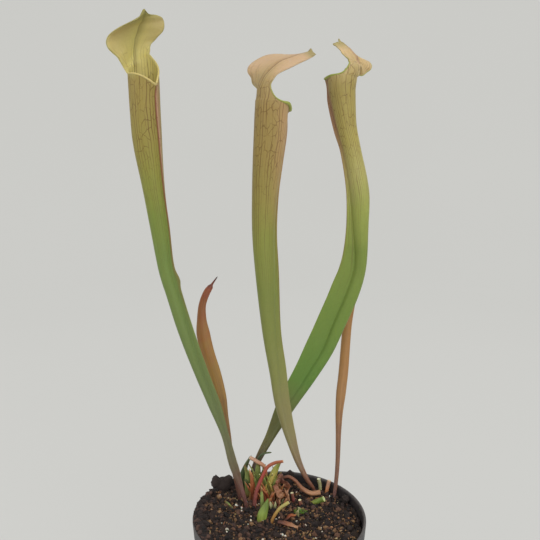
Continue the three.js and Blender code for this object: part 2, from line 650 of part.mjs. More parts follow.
// A broken lump of soil: a rough many-sided stone shape.
function lump(x, y, z, radius, detail, next) {
  const stone = new THREE.IcosahedronGeometry(radius, detail)
  const joined = bare(stone)
  const places = joined.getAttribute('position')
  const shift = next() * 20
  for (let k = 0; k < places.count; k++) {
    const p = new THREE.Vector3().fromBufferAttribute(places, k)
    const bump = 1 + 0.28 * waves(p.x / radius * 2 + shift, p.y / radius * 2, p.z / radius * 2)
    places.setXYZ(k, p.x * bump, p.y * bump, p.z * bump * 0.85)
  }
  joined.rotateZ(next() * Math.PI)
  joined.translate(x, y, z)
  return joined
}

// The part of the pot that the heaped soil and its crumbs keep clear of.
function rimKeepOut() {
  const inside = soilRadius(POT_HEIGHT)
  const low = POT_HEIGHT - RIM_BAND - 4
  const profile = [
    [inside, low], [RIM_RADIUS + 4, low], [RIM_RADIUS + 4, POT_HEIGHT + GAP], [inside, POT_HEIGHT + GAP],
    [inside, low],
  ]
  const lathe = new THREE.LatheGeometry(profile.map(([r, z]) => new THREE.Vector2(r, z)), POT_SEGMENTS)
  lathe.rotateX(Math.PI / 2)
  return toSolid(lathe)
}

function rhizomeSolid(grow) {
  const build = (points, rows) => {
    const { line, carried } = carriedCurve(points)
    const rings = []
    for (let j = 0; j <= rows; j++) {
      const t = j / rows
      const centre = line.getPoint(t)
      const along = line.getTangent(t)
      if (j === 0) centre.addScaledVector(along, -grow)
      if (j === rows) centre.addScaledVector(along, grow)
      const side = new THREE.Vector3().crossVectors(new THREE.Vector3(0, 0, 1), along).normalize()
      const up = new THREE.Vector3().crossVectors(along, side)
      const swell = 1 + 0.1 * Math.sin((2 * Math.PI * t * line.getLength()) / RHIZOME_RING)
      const end = j === 0 || j === rows ? 0.55 : 1
      const ring = []
      for (let i = 0; i < RHIZOME_SIDES; i++) {
        const angle = (2 * Math.PI * i) / RHIZOME_SIDES
        const reach = carried.getPoint(t).x * end * swell * (1 + 0.07 * Math.sin(3 * angle + 5 * t)) + grow
        const p = centre.clone().addScaledVector(side, Math.cos(angle) * reach)
        ring.push(p.addScaledVector(up, Math.sin(angle) * reach))
      }
      rings.push(ring)
    }
    return toSolid(ringSolid(rings))
  }
  return build(RHIZOME, 20).add(build(RHIZOME_BRANCH, 5))
}

function deadLeafSolid(grow) {
  const strips = DEAD_LEAF.strips.map((strip) => toSolid(shoot(strip, SHOOT_SIDES, grow)))
  return strips.reduce((sum, strip) => sum.add(strip))
}

// Every leaf's hole, for the soil and the rhizome to keep clear of.
function leafHoles() {
  const holes = Object.values(PITCHERS).map(({ tube }) => {
    const stalk = tube.map(([x, y, z, r, wing]) => [x, y, z, r + wing * 0.6])
    return footHole(stalk, 1, [1, 0, 0])
  })
  for (const { points, thin, across } of Object.values(SHOOTS)) holes.push(footHole(points, thin, across))
  holes.push(deadLeafSolid(GAP))
  return holes
}

function soilSolid(holes) {
  const next = draws(11)
  let soil = soilBody()
  const spots = []
  for (let k = 0; k < CRUMBS; k++) {
    const angle = k * 2.39996 + next() * 0.5
    const reach = (soilRadius(POT_HEIGHT) - 3) * Math.sqrt((k + 0.5) / CRUMBS)
    const size = CRUMB_SMALL + (CRUMB_LARGE - CRUMB_SMALL) * next() ** 2
    const x = reach * Math.cos(angle)
    const y = reach * Math.sin(angle)
    spots.push([x, y, soilHeight(x, y) + 0.15 * size, size, 0])
  }
  spots.push([...BIG_CLOD, 1])
  for (const clod of BACK_CLODS) spots.push([...clod, 0])
  for (const [x, y, z, size, detail] of spots) soil = soil.add(toSolid(lump(x, y, z, size, detail, next)))
  soil = soil.subtract(rimKeepOut()).subtract(rhizomeSolid(GAP))
  for (const hole of holes) soil = soil.subtract(hole)
  return largestPiece(soil)
}

function mesh(name, geometry, colour, roughness) {
  const smooth = geometry.clone()
  smooth.computeVertexNormals()
  const piece = new THREE.Mesh(smooth, new THREE.MeshStandardMaterial({ color: colour, roughness, metalness: 0 }))
  piece.name = name
  return piece
}

const group = new THREE.Group()
const holes = leafHoles()

group.add(mesh('pot', potGeometry(), 0x1d1e20, 0.5))
group.add(mesh('soil', toGeometry(soilSolid(holes)), 0x3a2c24, 0.95))

let rhizome = rhizomeSolid(0)
for (const hole of holes) rhizome = rhizome.subtract(hole)
group.add(mesh('rhizome', toGeometry(largestPiece(rhizome)), 0x4a3022, 0.8))

for (const [name, pitcher] of Object.entries(PITCHERS)) {
  group.add(mesh(name, pitcherGeometry(pitcher), pitcher.colour, 0.5))
}
for (const [name, piece] of Object.entries(SHOOTS)) {
  group.add(mesh(name, shoot(piece, SHOOT_SIDES), piece.colour, 0.6))
}
group.add(mesh('dead_leaf', toGeometry(deadLeafSolid(0)), DEAD_LEAF.colour, 0.8))

export default group
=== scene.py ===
"""A sweet pitcher plant in a round nursery pot: its looks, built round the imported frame.

Lengths in the tables are millimetres, as in the part's source, and MM turns them to metres.
+Z is up, -Y is the side that the plant is seen from, and the origin is the centre of the pot's base.
"""

import math
import random

import bmesh
import bpy
import numpy as np
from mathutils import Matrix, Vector, noise


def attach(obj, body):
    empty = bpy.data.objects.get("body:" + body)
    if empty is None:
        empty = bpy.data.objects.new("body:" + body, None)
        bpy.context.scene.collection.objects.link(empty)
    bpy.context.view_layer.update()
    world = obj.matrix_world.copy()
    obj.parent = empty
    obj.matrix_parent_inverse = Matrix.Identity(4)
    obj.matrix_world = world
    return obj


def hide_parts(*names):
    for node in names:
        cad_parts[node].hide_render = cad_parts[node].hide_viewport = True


bl_info = {
    "name": "Potted pitcher plant",
    "version": (1, 0, 0),
    "blender": (4, 5, 0),
    "location": "3D View > Sidebar > Pitcher Plant",
    "description": "Builds a sweet pitcher plant in its nursery pot",
    "category": "Add Mesh",
}

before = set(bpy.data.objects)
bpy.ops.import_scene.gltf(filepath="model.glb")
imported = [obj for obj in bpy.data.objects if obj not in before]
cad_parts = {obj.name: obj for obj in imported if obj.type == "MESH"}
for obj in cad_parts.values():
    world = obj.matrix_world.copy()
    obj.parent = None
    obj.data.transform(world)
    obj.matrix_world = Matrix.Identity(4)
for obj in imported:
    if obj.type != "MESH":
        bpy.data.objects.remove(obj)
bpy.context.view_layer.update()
BODY = "root"
MM = 0.001
NOISE_SEED = 3

# The camera, which was fitted to the pot's rim, and the height that the lights look at.
CAMERA_PLACE = (-4.8, -289.8, 255.6)
CAMERA_PITCH = 9.17
CAMERA_LENS = 40.0
SENSOR_WIDTH = 36.0
PLANT_MIDDLE = 180.0

# The soft lights: name, place and size in metres, and the setting of their power.
LIGHTS = (
    ("key_light", (0.55, -0.75, 1.15), 1.1, "key"),
    ("fill_light", (-1.0, -0.5, 0.7), 1.0, "fill"),
    ("front_light", (0.4, -1.2, 0.2), 1.2, "front"),
)

# The backdrop: its flat floor, the curve that rises from it, its height and the curve's rows.
BACKDROP_FLAT = 1100.0
BACKDROP_CURVE = 800.0
BACKDROP_TOP = 2200.0
BACKDROP_ROWS = 16

# The pot and the soil, as in the part's source. The rim's band is narrower at its foot by the
# taper, and under the band the soil stands off the wall by the gap and the slack.
POT_HEIGHT = 80.0
RIM_RADIUS = 45.0
BASE_RADIUS = 31.5
POT_WALL = 1.2
RIM_BAND = 9.0
RIM_STEP = 1.4
RIM_TAPER = 0.6
DRAIN_HOLES = 6
DRAIN_RADIUS = 3.0
DRAIN_CIRCLE = 24.0
SOIL_LEVEL = 74.5
SOIL_HEAP = 5.5
SOIL_FLOOR = 1.6
SOIL_GAP = 0.3
SOIL_SLACK = 0.2
SOIL_RADIUS = RIM_RADIUS - POT_WALL - RIM_TAPER - SOIL_GAP

# The soil's small clods stand this high on a surface that is sunk a little to make room for them.
CLOD_HEIGHT = 0.9
CLOD_SINK = 0.3
SOIL_RINGS = 80
SOIL_COLUMNS = 200

# The loose grains that no setting counts, and the seed of each kind of chance.
COUNTS = {"clods": 60, "spilled": 620, "perlite": 64, "bark": 90, "moss": 150}
SEEDS = {
    "clods": 5, "crumbs": 7, "fines": 8, "grit": 11, "perlite": 13, "bark": 17, "rootlets": 19,
    "moss": 23, "crown": 29, "spilled": 31,
}

# How finely the leaves are divided.
TUBE_ROWS = 150
MOUTH_ROWS = 18
HOOD_ROWS = 64
TUBE_COLUMNS = 52
WING_COLUMNS = 6
BEAD_COLUMNS = 8
COLUMNS = TUBE_COLUMNS + 2 * WING_COLUMNS

# The wing's section from its root to its edge: part of its height, part of its half thickness.
# A wing lower than the full height is thinner in proportion.
WING_PROFILE = ((0.1, 0.78), (0.3, 0.62), (0.62, 0.56), (0.93, 0.5), (0.985, 0.3), (1.0, 0.0))
WING_HALF = 0.55
WING_FULL = 0.6

# A tube is hollow from where its radius passes this.
HOLLOW_FROM_RADIUS = 2.6

# Rows of a mouth: they crowd toward the last one by the power, and keep a share of even climb. In
# the first of them the wing's columns start at the shoulder, a share of the way to the margin. The
# lip's spout fades out over its reach.
MOUTH_POWER = 0.8
MOUTH_EVEN = 0.15
MOUTH_SHOULDER = 0.99
SPOUT_REACH = 3.2

# A hood folds along its rib over its first rows, and each side stays mostly straight. Its margin
# waves and is thinner by a share, and a shallow crease runs along its rib.
FOLD_ROWS = 4
FOLD_STRAIGHT = 0.7
HOOD_WAVES = 17
HOOD_WAVE_SLANT = 2.2
MARGIN_THINNING = 0.35
CREASE_DEPTH = 0.25
CREASE_WIDTH = 0.07

# How thick the rolled margin is from the lip to the hood's tip. At the first two places the
# size is a share of the pitcher's own bead, the first of them being all of it.
ROLL_PLACES = (0, 0.07, 0.12, 0.25, 0.6, 1.0)
ROLL_SIZES = (0.8, 1, 0.72, 0.5, 0.42)

# The veins: how many half gaps there are between them round a tube and its wing, how far they
# wander as a share of the way round, and how many cells of their net go round and along a leaf.
VEIN_HALF_GAPS = 76.0
VEIN_WANDER = 0.05
NET_CELLS = (23.0, 58.0, 1.0)

# A pitcher's tube, from its foot to the mouth's front lip: each station is x, y, z of the
# centre, the radius, the wing's height and the side it faces in degrees. Its mouth is how high
# the wall stands over the front lip at the first margin and at the second, the power of that
# climb, how far the gap opens to each side of the front in radians, how far the rows move back,
# the power of that move, and how far the first margin swells up between its ends. Each hood row
# is a margin, the rib and the other margin. The spout is how far the lip's front is drawn out and
# up, the bead is how thick the roll is there, and the ripple is how much the hood's margin waves.
# The colours run up the leaf, each from its share of the length, and the lobe, the rib, the
# lining and the lip have their own; the lining's colour is painted light that brightens the inner
# face as if lit through the leaf. The flank is where round the tube a pinker band starts and is
# full, its colour, and where along the leaf it starts and is full. The seam is how far from the back
# the wing's dark edge starts and is full, and where along the leaf. The fold is a band of painted
# shade beside the rib: its far side, its near side, its colour and its depth.
PITCHERS = {
    "pitcher_left": {
        "tube": (
            (-17, 10, 68.5, 1, 0, -15), (-17.2, 10, 76, 1, 0, -15), (-20.5, 10, 89, 1.1, 0.4, -15),
            (-25.2, 9, 102, 1.3, 2.4, -15), (-29, 8.5, 118, 1.1, 2.1, -15),
            (-35.1, 8, 136, 1.9, 3.3, -15), (-41.5, 7, 154, 2.25, 3.2, -15),
            (-48.1, 6, 175, 2.9, 2.6, -15), (-54.1, 5.6, 197, 3.2, 2.3, -18),
            (-55.5, 5.5, 202, 3.3, 3.4, -20), (-56.9, 5.4, 208.5, 3.5, 1.8, -19),
            (-59.2, 5, 230, 4.6, 1.2, -24), (-61.4, 4.5, 249, 5.4, 1, -30),
            (-63.5, 4, 270, 6.9, 0.8, -34), (-64, 3.5, 284, 7.2, 0.7, -39),
            (-64.2, 3.2, 296.5, 7.3, 0.4, -40),
        ),
        "mouth": (4.9, 14.8, 1, 2, 0, 1, 1.5),
        "hood": (
            ((-73, 1.5, 304), (-70, 9, 309), (-62.5, 11, 313.5)),
            ((-74, 0, 306.5), (-70.5, 9.5, 311.5), (-62.5, 11.5, 315)),
            ((-75, -1.5, 308.5), (-70.5, 9.5, 314), (-62, 12, 317)),
            ((-77, -3, 310), (-70, 9.5, 316.5), (-60, 12.5, 319)),
            ((-78.5, -4.5, 311.5), (-69.5, 9, 319), (-58.5, 12, 320.5)),
            ((-79, -5, 314), (-68.5, 8.5, 321), (-56.5, 12, 322.5)),
            ((-78, -5, 316.5), (-67.5, 7.5, 323), (-55.5, 11.5, 324.5)),
            ((-75.5, -5, 319), (-66.5, 6.5, 325), (-55.5, 11, 327)),
            ((-72, -4.5, 321.5), (-65, 5.5, 326.5), (-56.5, 9.5, 328.5)),
            ((-68.5, -3, 323.5), (-64, 4, 328), (-59.5, 8, 329)),
            ((-65, -1, 325.5), (-63, 2.5, 329), (-61.5, 5, 329)),
            ((-63, 0.5, 329.5), (-62.5, 1, 330), (-62, 1.5, 329.5)),
        ),
        "spout": (1.3, -0.6),
        "bead": 1.2,
        "colours": (
            (0.02, "5a3b35"), (0.07, "79544f"), (0.13, "6f6650"), (0.2, "68704a"), (0.32, "687745"),
            (0.43, "6b7d43"), (0.55, "6e8240"), (0.63, "76843a"), (0.71, "8b883e"), (0.8, "928342"),
            (0.87, "968446"), (0.9, "b4ac64"), (0.94, "bab26c"), (1.0, "ab9a5a"),
        ),
        "lobe": "b0a06a",
        "flank": (0.83, 0.89, "b8907a", 0.5, 0.72),
        "seam": (0.44, 0.462, 0.4, 0.66),
        "fold": (0.7, 0.51, "7c6f38", 0.7),
        "rib": "6e6230",
        "lining": "cabe76",
        "lip": "cdba78",
        "ripple": 0.8,
    },
    "pitcher_middle": {
        "tube": (
            (20.6, 30.4, 67.5, 1, 0, 30), (20.6, 31.6, 75, 1, 0, 30), (16.5, 30, 82, 1, 0.5, 30),
            (10.7, 27, 94, 1, 1.9, 30), (5.1, 24, 110, 1.1, 4.3, 30), (-0.1, 20, 131, 1.9, 5.4, 30),
            (-2.5, 18, 150, 2.5, 5.1, 30), (-5.2, 17, 172, 3.5, 3.8, 30), (-7.3, 17.5, 204, 5.1, 3.2, 30),
            (-8.2, 18, 225, 5.8, 2.3, 30), (-7.5, 18, 245, 6.5, 1.8, 30), (-6.2, 18, 261, 7.4, 1.8, 30),
            (-4.7, 18, 277, 8.2, 1.8, 30), (-3.9, 18, 290.5, 8.3, 0.4, 30),
        ),
        "mouth": (5.2, 6, 9, 2.25, -0.6, 2, -0.7),
        "hood": (
            ((-4.5, 10.5, 298), (-9.5, 14, 298.5), (-13.5, 24.5, 300)),
            ((-3, 10, 300.5), (-7.5, 14.5, 302.5), (-14.5, 26.5, 303.5)),
            ((-1, 10.5, 303), (-5.5, 15.5, 305), (-16, 28, 306.5)),
            ((2, 12, 305), (-3, 17, 307.5), (-15.5, 29, 309.5)),
            ((6, 15, 307), (0.5, 19.5, 310.5), (-12, 31, 313)),
            ((9.5, 18, 309), (4.5, 22.5, 312.5), (-6.5, 32, 315.5)),
            ((12.5, 21, 311), (9, 25.5, 314.5), (1, 33, 316)),
            ((15.5, 24.5, 313), (12.5, 28, 316), (7.5, 33.5, 315.5)),
            ((17, 27.5, 314), (15, 30, 317), (13, 33, 316)),
            ((18.5, 29.5, 315.5), (17, 30.5, 317), (16, 31, 318.5)),
        ),
        "spout": (2.0, -2.8),
        "bead": 2.4,
        "colours": (
            (0.02, "74483a"), (0.06, "8a6450"), (0.1, "8a745c"), (0.17, "8c845c"), (0.24, "878254"),
            (0.32, "80834a"), (0.39, "7b8144"), (0.48, "78813f"), (0.57, "82863e"), (0.66, "8f8443"),
            (0.74, "948046"), (0.82, "967f49"), (0.88, "ae9868"), (0.93, "bda07a"), (1.0, "c4a586"),
        ),
        "lobe": "c3a582",
        "flank": (0.33, 0.24, "b5946c", 0.6, 0.8),
        "seam": (0.455, 0.475, 0.3, 0.6),
        "fold": (0.62, 0.52, "93744e", 0.45),
        "rib": "74583a",
        "lining": "bfa876",
        "lip": "98a24c",
        "ripple": 0.6,
    },
    "pitcher_right": {
        "tube": (
            (-15, 30, 68.5, 1, 0, 180), (-14.8, 30.5, 77, 1, 0.2, 180), (-13.5, 32.5, 87, 1.1, 1.1, 180),
            (-10, 34, 94, 1.1, 1.9, 180), (-4, 36, 104, 1.2, 2.9, 180), (7.5, 38, 123.2, 2.2, 6.5, 180),
            (18.9, 39, 140.7, 2.8, 8.2, 180), (28, 39.5, 156, 3.1, 10, 180), (34.2, 40, 171, 3.5, 9.3, 180),
            (41.1, 40, 188, 3.6, 9.2, 180), (45.4, 40, 204, 3.3, 8.1, 180), (45.1, 40, 227, 4.3, 3.7, 180),
            (44, 40, 246, 5.2, 2.1, 180), (39.3, 40, 268, 4.9, 1.4, 180), (36.2, 40, 280, 5.5, 1.6, 180),
            (33.9, 40, 294, 6.9, 1.3, 180), (33.2, 40, 300, 7.5, 0.4, 180), (33.3, 40, 305.5, 8, 0.4, 180),
        ),
        "mouth": (6, 6, 8, 1.71, 1.6, 2, 0),
        "hood": (
            ((44.5, 46.5, 307.5), (43.5, 42, 312), (36.5, 34, 312)),
            ((47.5, 48.5, 309.5), (43, 42, 313), (36, 33.5, 313)),
            ((50, 49.5, 311.5), (42.5, 42, 314), (35.5, 33, 314)),
            ((50.5, 50, 313.5), (42, 42, 315), (34.5, 32.5, 314.5)),
            ((49, 50, 315.5), (41.5, 41.5, 316.5), (33.5, 32, 315.5)),
            ((46, 49, 316), (40.5, 41, 317.5), (32.5, 32, 316.5)),
            ((42.5, 47.5, 316.5), (39, 40.5, 319), (31.5, 32.5, 318)),
            ((38.5, 45.5, 319), (37.5, 40, 320.5), (30.5, 33, 319)),
            ((35.5, 43.5, 321), (35.5, 40, 322), (29.5, 34.5, 320.5)),
            ((33.5, 42, 323), (33.5, 40, 323.5), (28, 36.5, 322)),
            ((31.5, 41, 325.5), (31.5, 40, 324), (30, 38.5, 323)),
        ),
        "spout": (0.7, -0.8),
        "bead": 1.7,
        "colours": (
            (0.03, "4a3a33"), (0.08, "5c4c3f"), (0.14, "66663f"), (0.2, "6a7040"), (0.28, "5f8038"),
            (0.41, "6c843a"), (0.51, "74863c"), (0.58, "76863c"), (0.65, "929a4c"), (0.72, "a8a262"),
            (0.8, "a89c56"), (0.88, "9e8e52"), (0.92, "bba674"), (1.0, "ccb084"),
        ),
        "lobe": "d0b488",
        "flank": (0.85, 0.89, "98705c", 0.7, 0.83),
        "seam": (0.46, 0.478, 0.5, 0.72),
        "fold": (0.66, 0.53, "a87c66", 0.65),
        "rib": "8a5a4c",
        "lining": "bfa96c",
        "lip": "98a24c",
        "ripple": 0.3,
    },
}

# Solid leaves, stubs and dry pieces: each point is x, y, z of the centre and the half width,
# thin is the thickness as a part of the width and across is the broad direction. The bow curls
# the section, the keel thins its edges, the crumple is how far dry tissue buckles, end says how
# the far end is finished, and look names the surface. An entry leaves out what is plain.
PLAIN_SHOOT = {"across": (1, 0, 0), "rows": 40, "end": "point", "bow": 0, "keel": 0, "crumple": 0}
SHOOTS = {
    "young_pitcher": {
        "thin": 0.55, "rows": 120, "look": "young_leaf", "keel": 0.5,
        "points": (
            (-21, 17.5, 68.5, 1), (-21, 17.5, 76, 1), (-22.5, 17, 84, 1), (-24.5, 17, 94, 1.1),
            (-26, 17, 104, 1.2), (-27.5, 17, 115, 1.6), (-29.5, 17, 126, 2.3), (-31.7, 16.5, 138, 3.5),
            (-34.7, 16.5, 151, 3.7), (-37.8, 16, 162, 3.7), (-39.8, 16, 172, 3.6), (-40.5, 16, 180, 2.5),
            (-40, 16, 188, 1.9), (-37.6, 16, 194.5, 1.8), (-35.7, 16, 197.4, 1.4), (-34.9, 16, 198.7, 0.6),
            (-32.4, 16, 202.2, 0.3),
        ),
    },
    "tan_pitcher": {
        "thin": 0.7, "rows": 110, "look": "tan_leaf", "keel": 0.25,
        "points": (
            (28.5, 23.6, 67, 1), (31.4, 25.2, 75, 1), (33, 28.6, 84, 1.15), (34, 32.5, 93, 1.25),
            (34.8, 38, 106, 1.55), (35.5, 42, 118, 2.15), (36.8, 45.5, 129, 2.85), (38.2, 48, 140, 2.85),
            (40.5, 52, 168, 2.65), (42.5, 53, 181, 2.55), (44.5, 54, 193, 2.25), (45.5, 54, 205, 1.55),
            (45.5, 54, 213, 0.6),
        ),
    },
    "red_stub": {
        "thin": 0.85, "rows": 48, "end": "cut", "look": "red_stalk",
        "points": (
            (-13.2, 11.5, 69.5, 1.1), (-13.4, 11.5, 76, 1.1), (-12, 13.5, 85, 1.05), (-9.4, 15.5, 91, 1),
            (-6, 17, 97, 0.95), (-1.5, 17.5, 99.3, 0.9), (2.3, 17, 100.2, 0.85),
        ),
    },
    "orange_stub": {
        "thin": 0.8, "across": (0, 1, 0), "end": "cut", "look": "orange_stalk",
        "points": (
            (-6.5, 23.5, 71, 1.2), (-6.8, 23.5, 80, 1.2), (-7, 23.8, 88, 1.2), (-8.3, 24, 93.8, 1.3),
            (-12, 24, 96.6, 1.3), (-16, 24, 99, 1.2),
        ),
    },
    "back_leaf_base": {
        "thin": 0.3, "across": (1, 0.3, 0), "look": "dark_sheath", "bow": 0.5,
        "points": (
            (-20.5, 26.5, 69, 1.6), (-20.8, 26.5, 78, 2.4), (-20.2, 26.5, 86, 2.2), (-18.4, 27, 92.5, 1.3),
            (-15.8, 28, 97.5, 0.5),
        ),
    },
    "left_leaf_base": {
        "thin": 0.3, "across": (1, -0.2, 0), "look": "fresh_sheath", "bow": 0.5,
        "points": (
            (-16.6, 22.5, 69, 1.4), (-16.8, 22.5, 79, 2.2), (-17.4, 22.5, 87, 1.7), (-18, 23, 93, 0.5),
        ),
    },
    "rust_leaf_base": {
        "thin": 0.5, "rows": 36, "look": "rust_sheath", "bow": 0.3,
        "points": (
            (-14.2, 19, 69, 1.1), (-14.4, 19, 80, 1.5), (-14.6, 19, 88, 1.2), (-16, 19, 94, 0.4),
        ),
    },
    "middle_leaf_base": {
        "thin": 0.35, "rows": 36, "end": "cut", "look": "fresh_sheath", "bow": 0.5,
        "points": (
            (-12, 25, 69, 1.4), (-12, 25, 80, 2), (-11.8, 25.2, 88, 1.8), (-11.3, 26, 95, 1.1),
        ),
    },
    "right_leaf_base": {
        "thin": 0.3, "across": (1, 0.2, 0.3), "look": "yellow_sheath", "bow": 0.5,
        "points": (
            (-4.6, 20, 70, 1.2), (-4.8, 20, 80, 2), (-3.6, 20.8, 88, 2.2), (-1.2, 21.6, 94, 1.6),
            (1, 22, 97, 0.5),
        ),
    },
    "hooked_leaf_base": {
        "thin": 0.6, "across": (0, 1, 0), "rows": 44, "look": "dark_sheath",
        "points": (
            (-12.5, 29, 69, 1), (-12.8, 29, 82, 1.1), (-12.4, 29, 92, 1), (-10.4, 28.6, 97.5, 1),
            (-7.6, 28.3, 99.4, 0.8), (-4.6, 28, 100, 0.4),
        ),
    },
    "juvenile_pitcher": {
        "thin": 0.6, "look": "lime_stalk", "keel": 0.4,
        "points": (
            (-9, -0.8, 69, 1.4), (-9.2, -0.6, 74.5, 2.6), (-8.8, -0.2, 79, 2.6), (-7.4, 0.8, 82.5, 1.9),
            (-6, 1.8, 86.4, 0.5),
        ),
    },
    "thin_shoot": {
        "thin": 0.7, "rows": 30, "look": "fresh_sheath",
        "points": ((-9, 5, 69.5, 0.9), (-9, 5, 79, 1), (-9.1, 5, 86, 0.9), (-9.4, 5, 90.5, 0.4)),
    },
    "yellow_stub": {
        "thin": 0.9, "rows": 36, "end": "cut", "look": "yellow_stalk",
        "points": (
            (-4.4, -2, 69.5, 0.9), (-4.2, -1.4, 75, 0.85), (-2.2, 0, 79, 0.85), (0.6, 1.4, 82, 0.85),
            (5, 3, 84.2, 0.9),
        ),
    },
    "dry_petiole": {
        "thin": 0.5, "across": (0.3, 1, 0), "rows": 30, "end": "cut", "look": "dry_leaf", "crumple": 0.25,
        "points": ((-0.6, -3, 77, 1.2), (3, -4, 76.6, 1.6), (6.2, -5.2, 76.4, 1.4), (9.4, -6.6, 76, 0.8)),
    },
    "pale_stub": {
        "thin": 0.9, "rows": 24, "end": "cut", "look": "pale_stalk",
        "points": ((23.4, 30.8, 69.5, 1), (24.2, 32, 76, 1), (23.2, 31.8, 82, 1)),
    },
    "orange_cut_stub": {
        "thin": 0.9, "rows": 24, "end": "cut", "look": "orange_stalk",
        "points": ((26.2, 28.4, 69.5, 1), (28, 30.2, 76.5, 1.1), (29.2, 31, 81.4, 1.1)),
    },
    "ring_stub": {
        "thin": 0.9, "rows": 24, "end": "hollow", "look": "lime_stalk",
        "points": ((17.4, 20.6, 72.5, 1.4), (21, 19.8, 74.8, 1.5), (25.2, 18.8, 77, 1.6)),
    },
    "small_stub_left": {
        "thin": 0.9, "rows": 24, "end": "cut", "look": "plum_stalk",
        "points": ((8.4, 21.5, 69.5, 0.9), (8.2, 21.3, 75, 0.9), (7.4, 21, 79.4, 0.9)),
    },
    "small_stub_right": {
        "thin": 0.9, "rows": 24, "end": "cut", "look": "plum_stalk",
        "points": ((12.4, 17, 69.5, 0.9), (12.2, 16.8, 74, 0.9), (11.6, 16.4, 77.8, 0.9)),
    },
    "rust_scrap": {
        "thin": 0.5, "across": (0.5, -1, 0.4), "rows": 28, "look": "rust_sheath",
        "crumple": 0.2, "points": ((2.6, 0.6, 75, 0.8), (5.8, 3.4, 76.2, 1.5), (8.8, 6, 75.2, 0.8)),
    },
    "green_scrap": {
        "thin": 0.6, "across": (0, 0, 1), "rows": 28, "end": "cut", "look": "fresh_sheath",
        "points": ((-30.4, 14.4, 78.6, 0.7), (-27.8, 11.2, 78.6, 1), (-25.2, 8, 78.2, 0.7)),
    },
}

# The dead leaf: a pink petiole that bends down to the right, and the blade's dry folds.
DEAD_LEAF = (
    {
        "thin": 0.8, "across": (0, 1, 0), "rows": 80, "end": "cut", "crumple": 0.06,
        "points": (
            (-1, 24.6, 84.5, 0.9), (2.5, 24.8, 86.4, 0.9), (5.6, 25, 87, 1), (9.3, 25, 84.6, 1.2),
            (13.4, 25, 79.8, 1.4), (18.2, 25, 77, 1.6), (23.4, 26.4, 76.6, 1.7),
        ),
    },
    {
        "thin": 0.35, "across": (0.3, 0.6, 1), "rows": 70, "crumple": 0.6, "bow": 0.4,
        "points": (
            (0.5, 24.6, 85.6, 0.9), (1.5, 22, 88.5, 1.6), (0, 18.5, 89, 1.9), (-1.5, 15.5, 86.5, 1.7),
            (0, 14, 83, 1.8), (2, 16, 80.5, 1.6), (0.5, 17.5, 78, 1),
        ),
    },
    {
        "thin": 0.35, "across": (0.6, -0.4, 1), "rows": 60, "crumple": 0.6, "bow": 0.4,
        "points": (
            (0.2, 18.8, 88.6, 1), (3, 17.5, 87.5, 1.7), (5, 19, 84, 1.8), (4, 17, 81, 1.6),
            (5.6, 15, 79, 0.8),
        ),
    },
)

# No small leaf's half thickness is less than this, unless its half width is. Dry tissue buckles
# in folds of about 2 mm, and a fibre has few rows.
LEAST_HALF = 0.45
CRUMPLE_SCALE = 0.55
CRUMPLE_REACH = 1.6
FIBRE_ROWS = 8

# The rhizome: x, y, z of its line and its radius, and a side branch to the right pitcher. The
# rings of old leaf scars are 5 mm apart.
RHIZOME = (
    (-23, 8, 70, 2.6), (-16, 14, 71.5, 4.4), (-9, 20, 72.5, 4.8), (0, 24, 72, 4.2),
    (9, 27, 69.5, 3.8), (19, 28.5, 67.5, 3.4), (27.5, 24, 66.5, 2.6),
)
RHIZOME_BRANCH = ((-9, 21, 71.5, 4.2), (-13, 27, 70.5, 3.8), (-17, 31.5, 69, 2.6))
RHIZOME_RING = 5.0
RHIZOME_SIDES = 40

# Clods over the rim: x, y, z and radius. The first three are the big one at the back left.
CLODS = (
    (-31.5, 29, 79.5, 5.2), (-35.4, 27.5, 82, 3.6), (-28.8, 29, 82.4, 3.3), (6.5, 38.5, 77, 3.2),
    (7, 38.2, 81, 2.6), (2.4, 38.8, 77, 2.6), (2.6, 38.6, 80.4, 2), (37, 18, 77.5, 2.2),
    (-40.5, 10, 79.5, 2.4),
)

# The torn sheaths and scraps that crowd the crown: their look, how many, the middle of the patch
# that they stand in, its half width and depth, and how low and high they stand.
CROWN = (
    ("fresh_sheath", 20, (-11, 22.5), (8, 5), (9, 20)),
    ("yellow_sheath", 16, (-5, 20), (6, 5), (8, 19)),
    ("dark_sheath", 10, (-14, 25), (7, 4), (6, 15)),
    ("rust_sheath", 40, (-7, 19.5), (8.5, 4.5), (5, 13)),
    ("dry_leaf", 26, (-1, 18), (7.5, 5), (3, 10)),
    ("pale_stalk", 6, (6, 13), (12, 9), (2.5, 4.5)),
)

# The points of a scrap above its foot, as shares of its height, its lean and its half width, and
# how deep its foot is rooted.
SCRAP_POINTS = ((0.45, 0.3, 1.2), (0.8, 0.8, 0.8), (1.0, 1.2, 0.3))
SCRAP_ROOT = 1.5

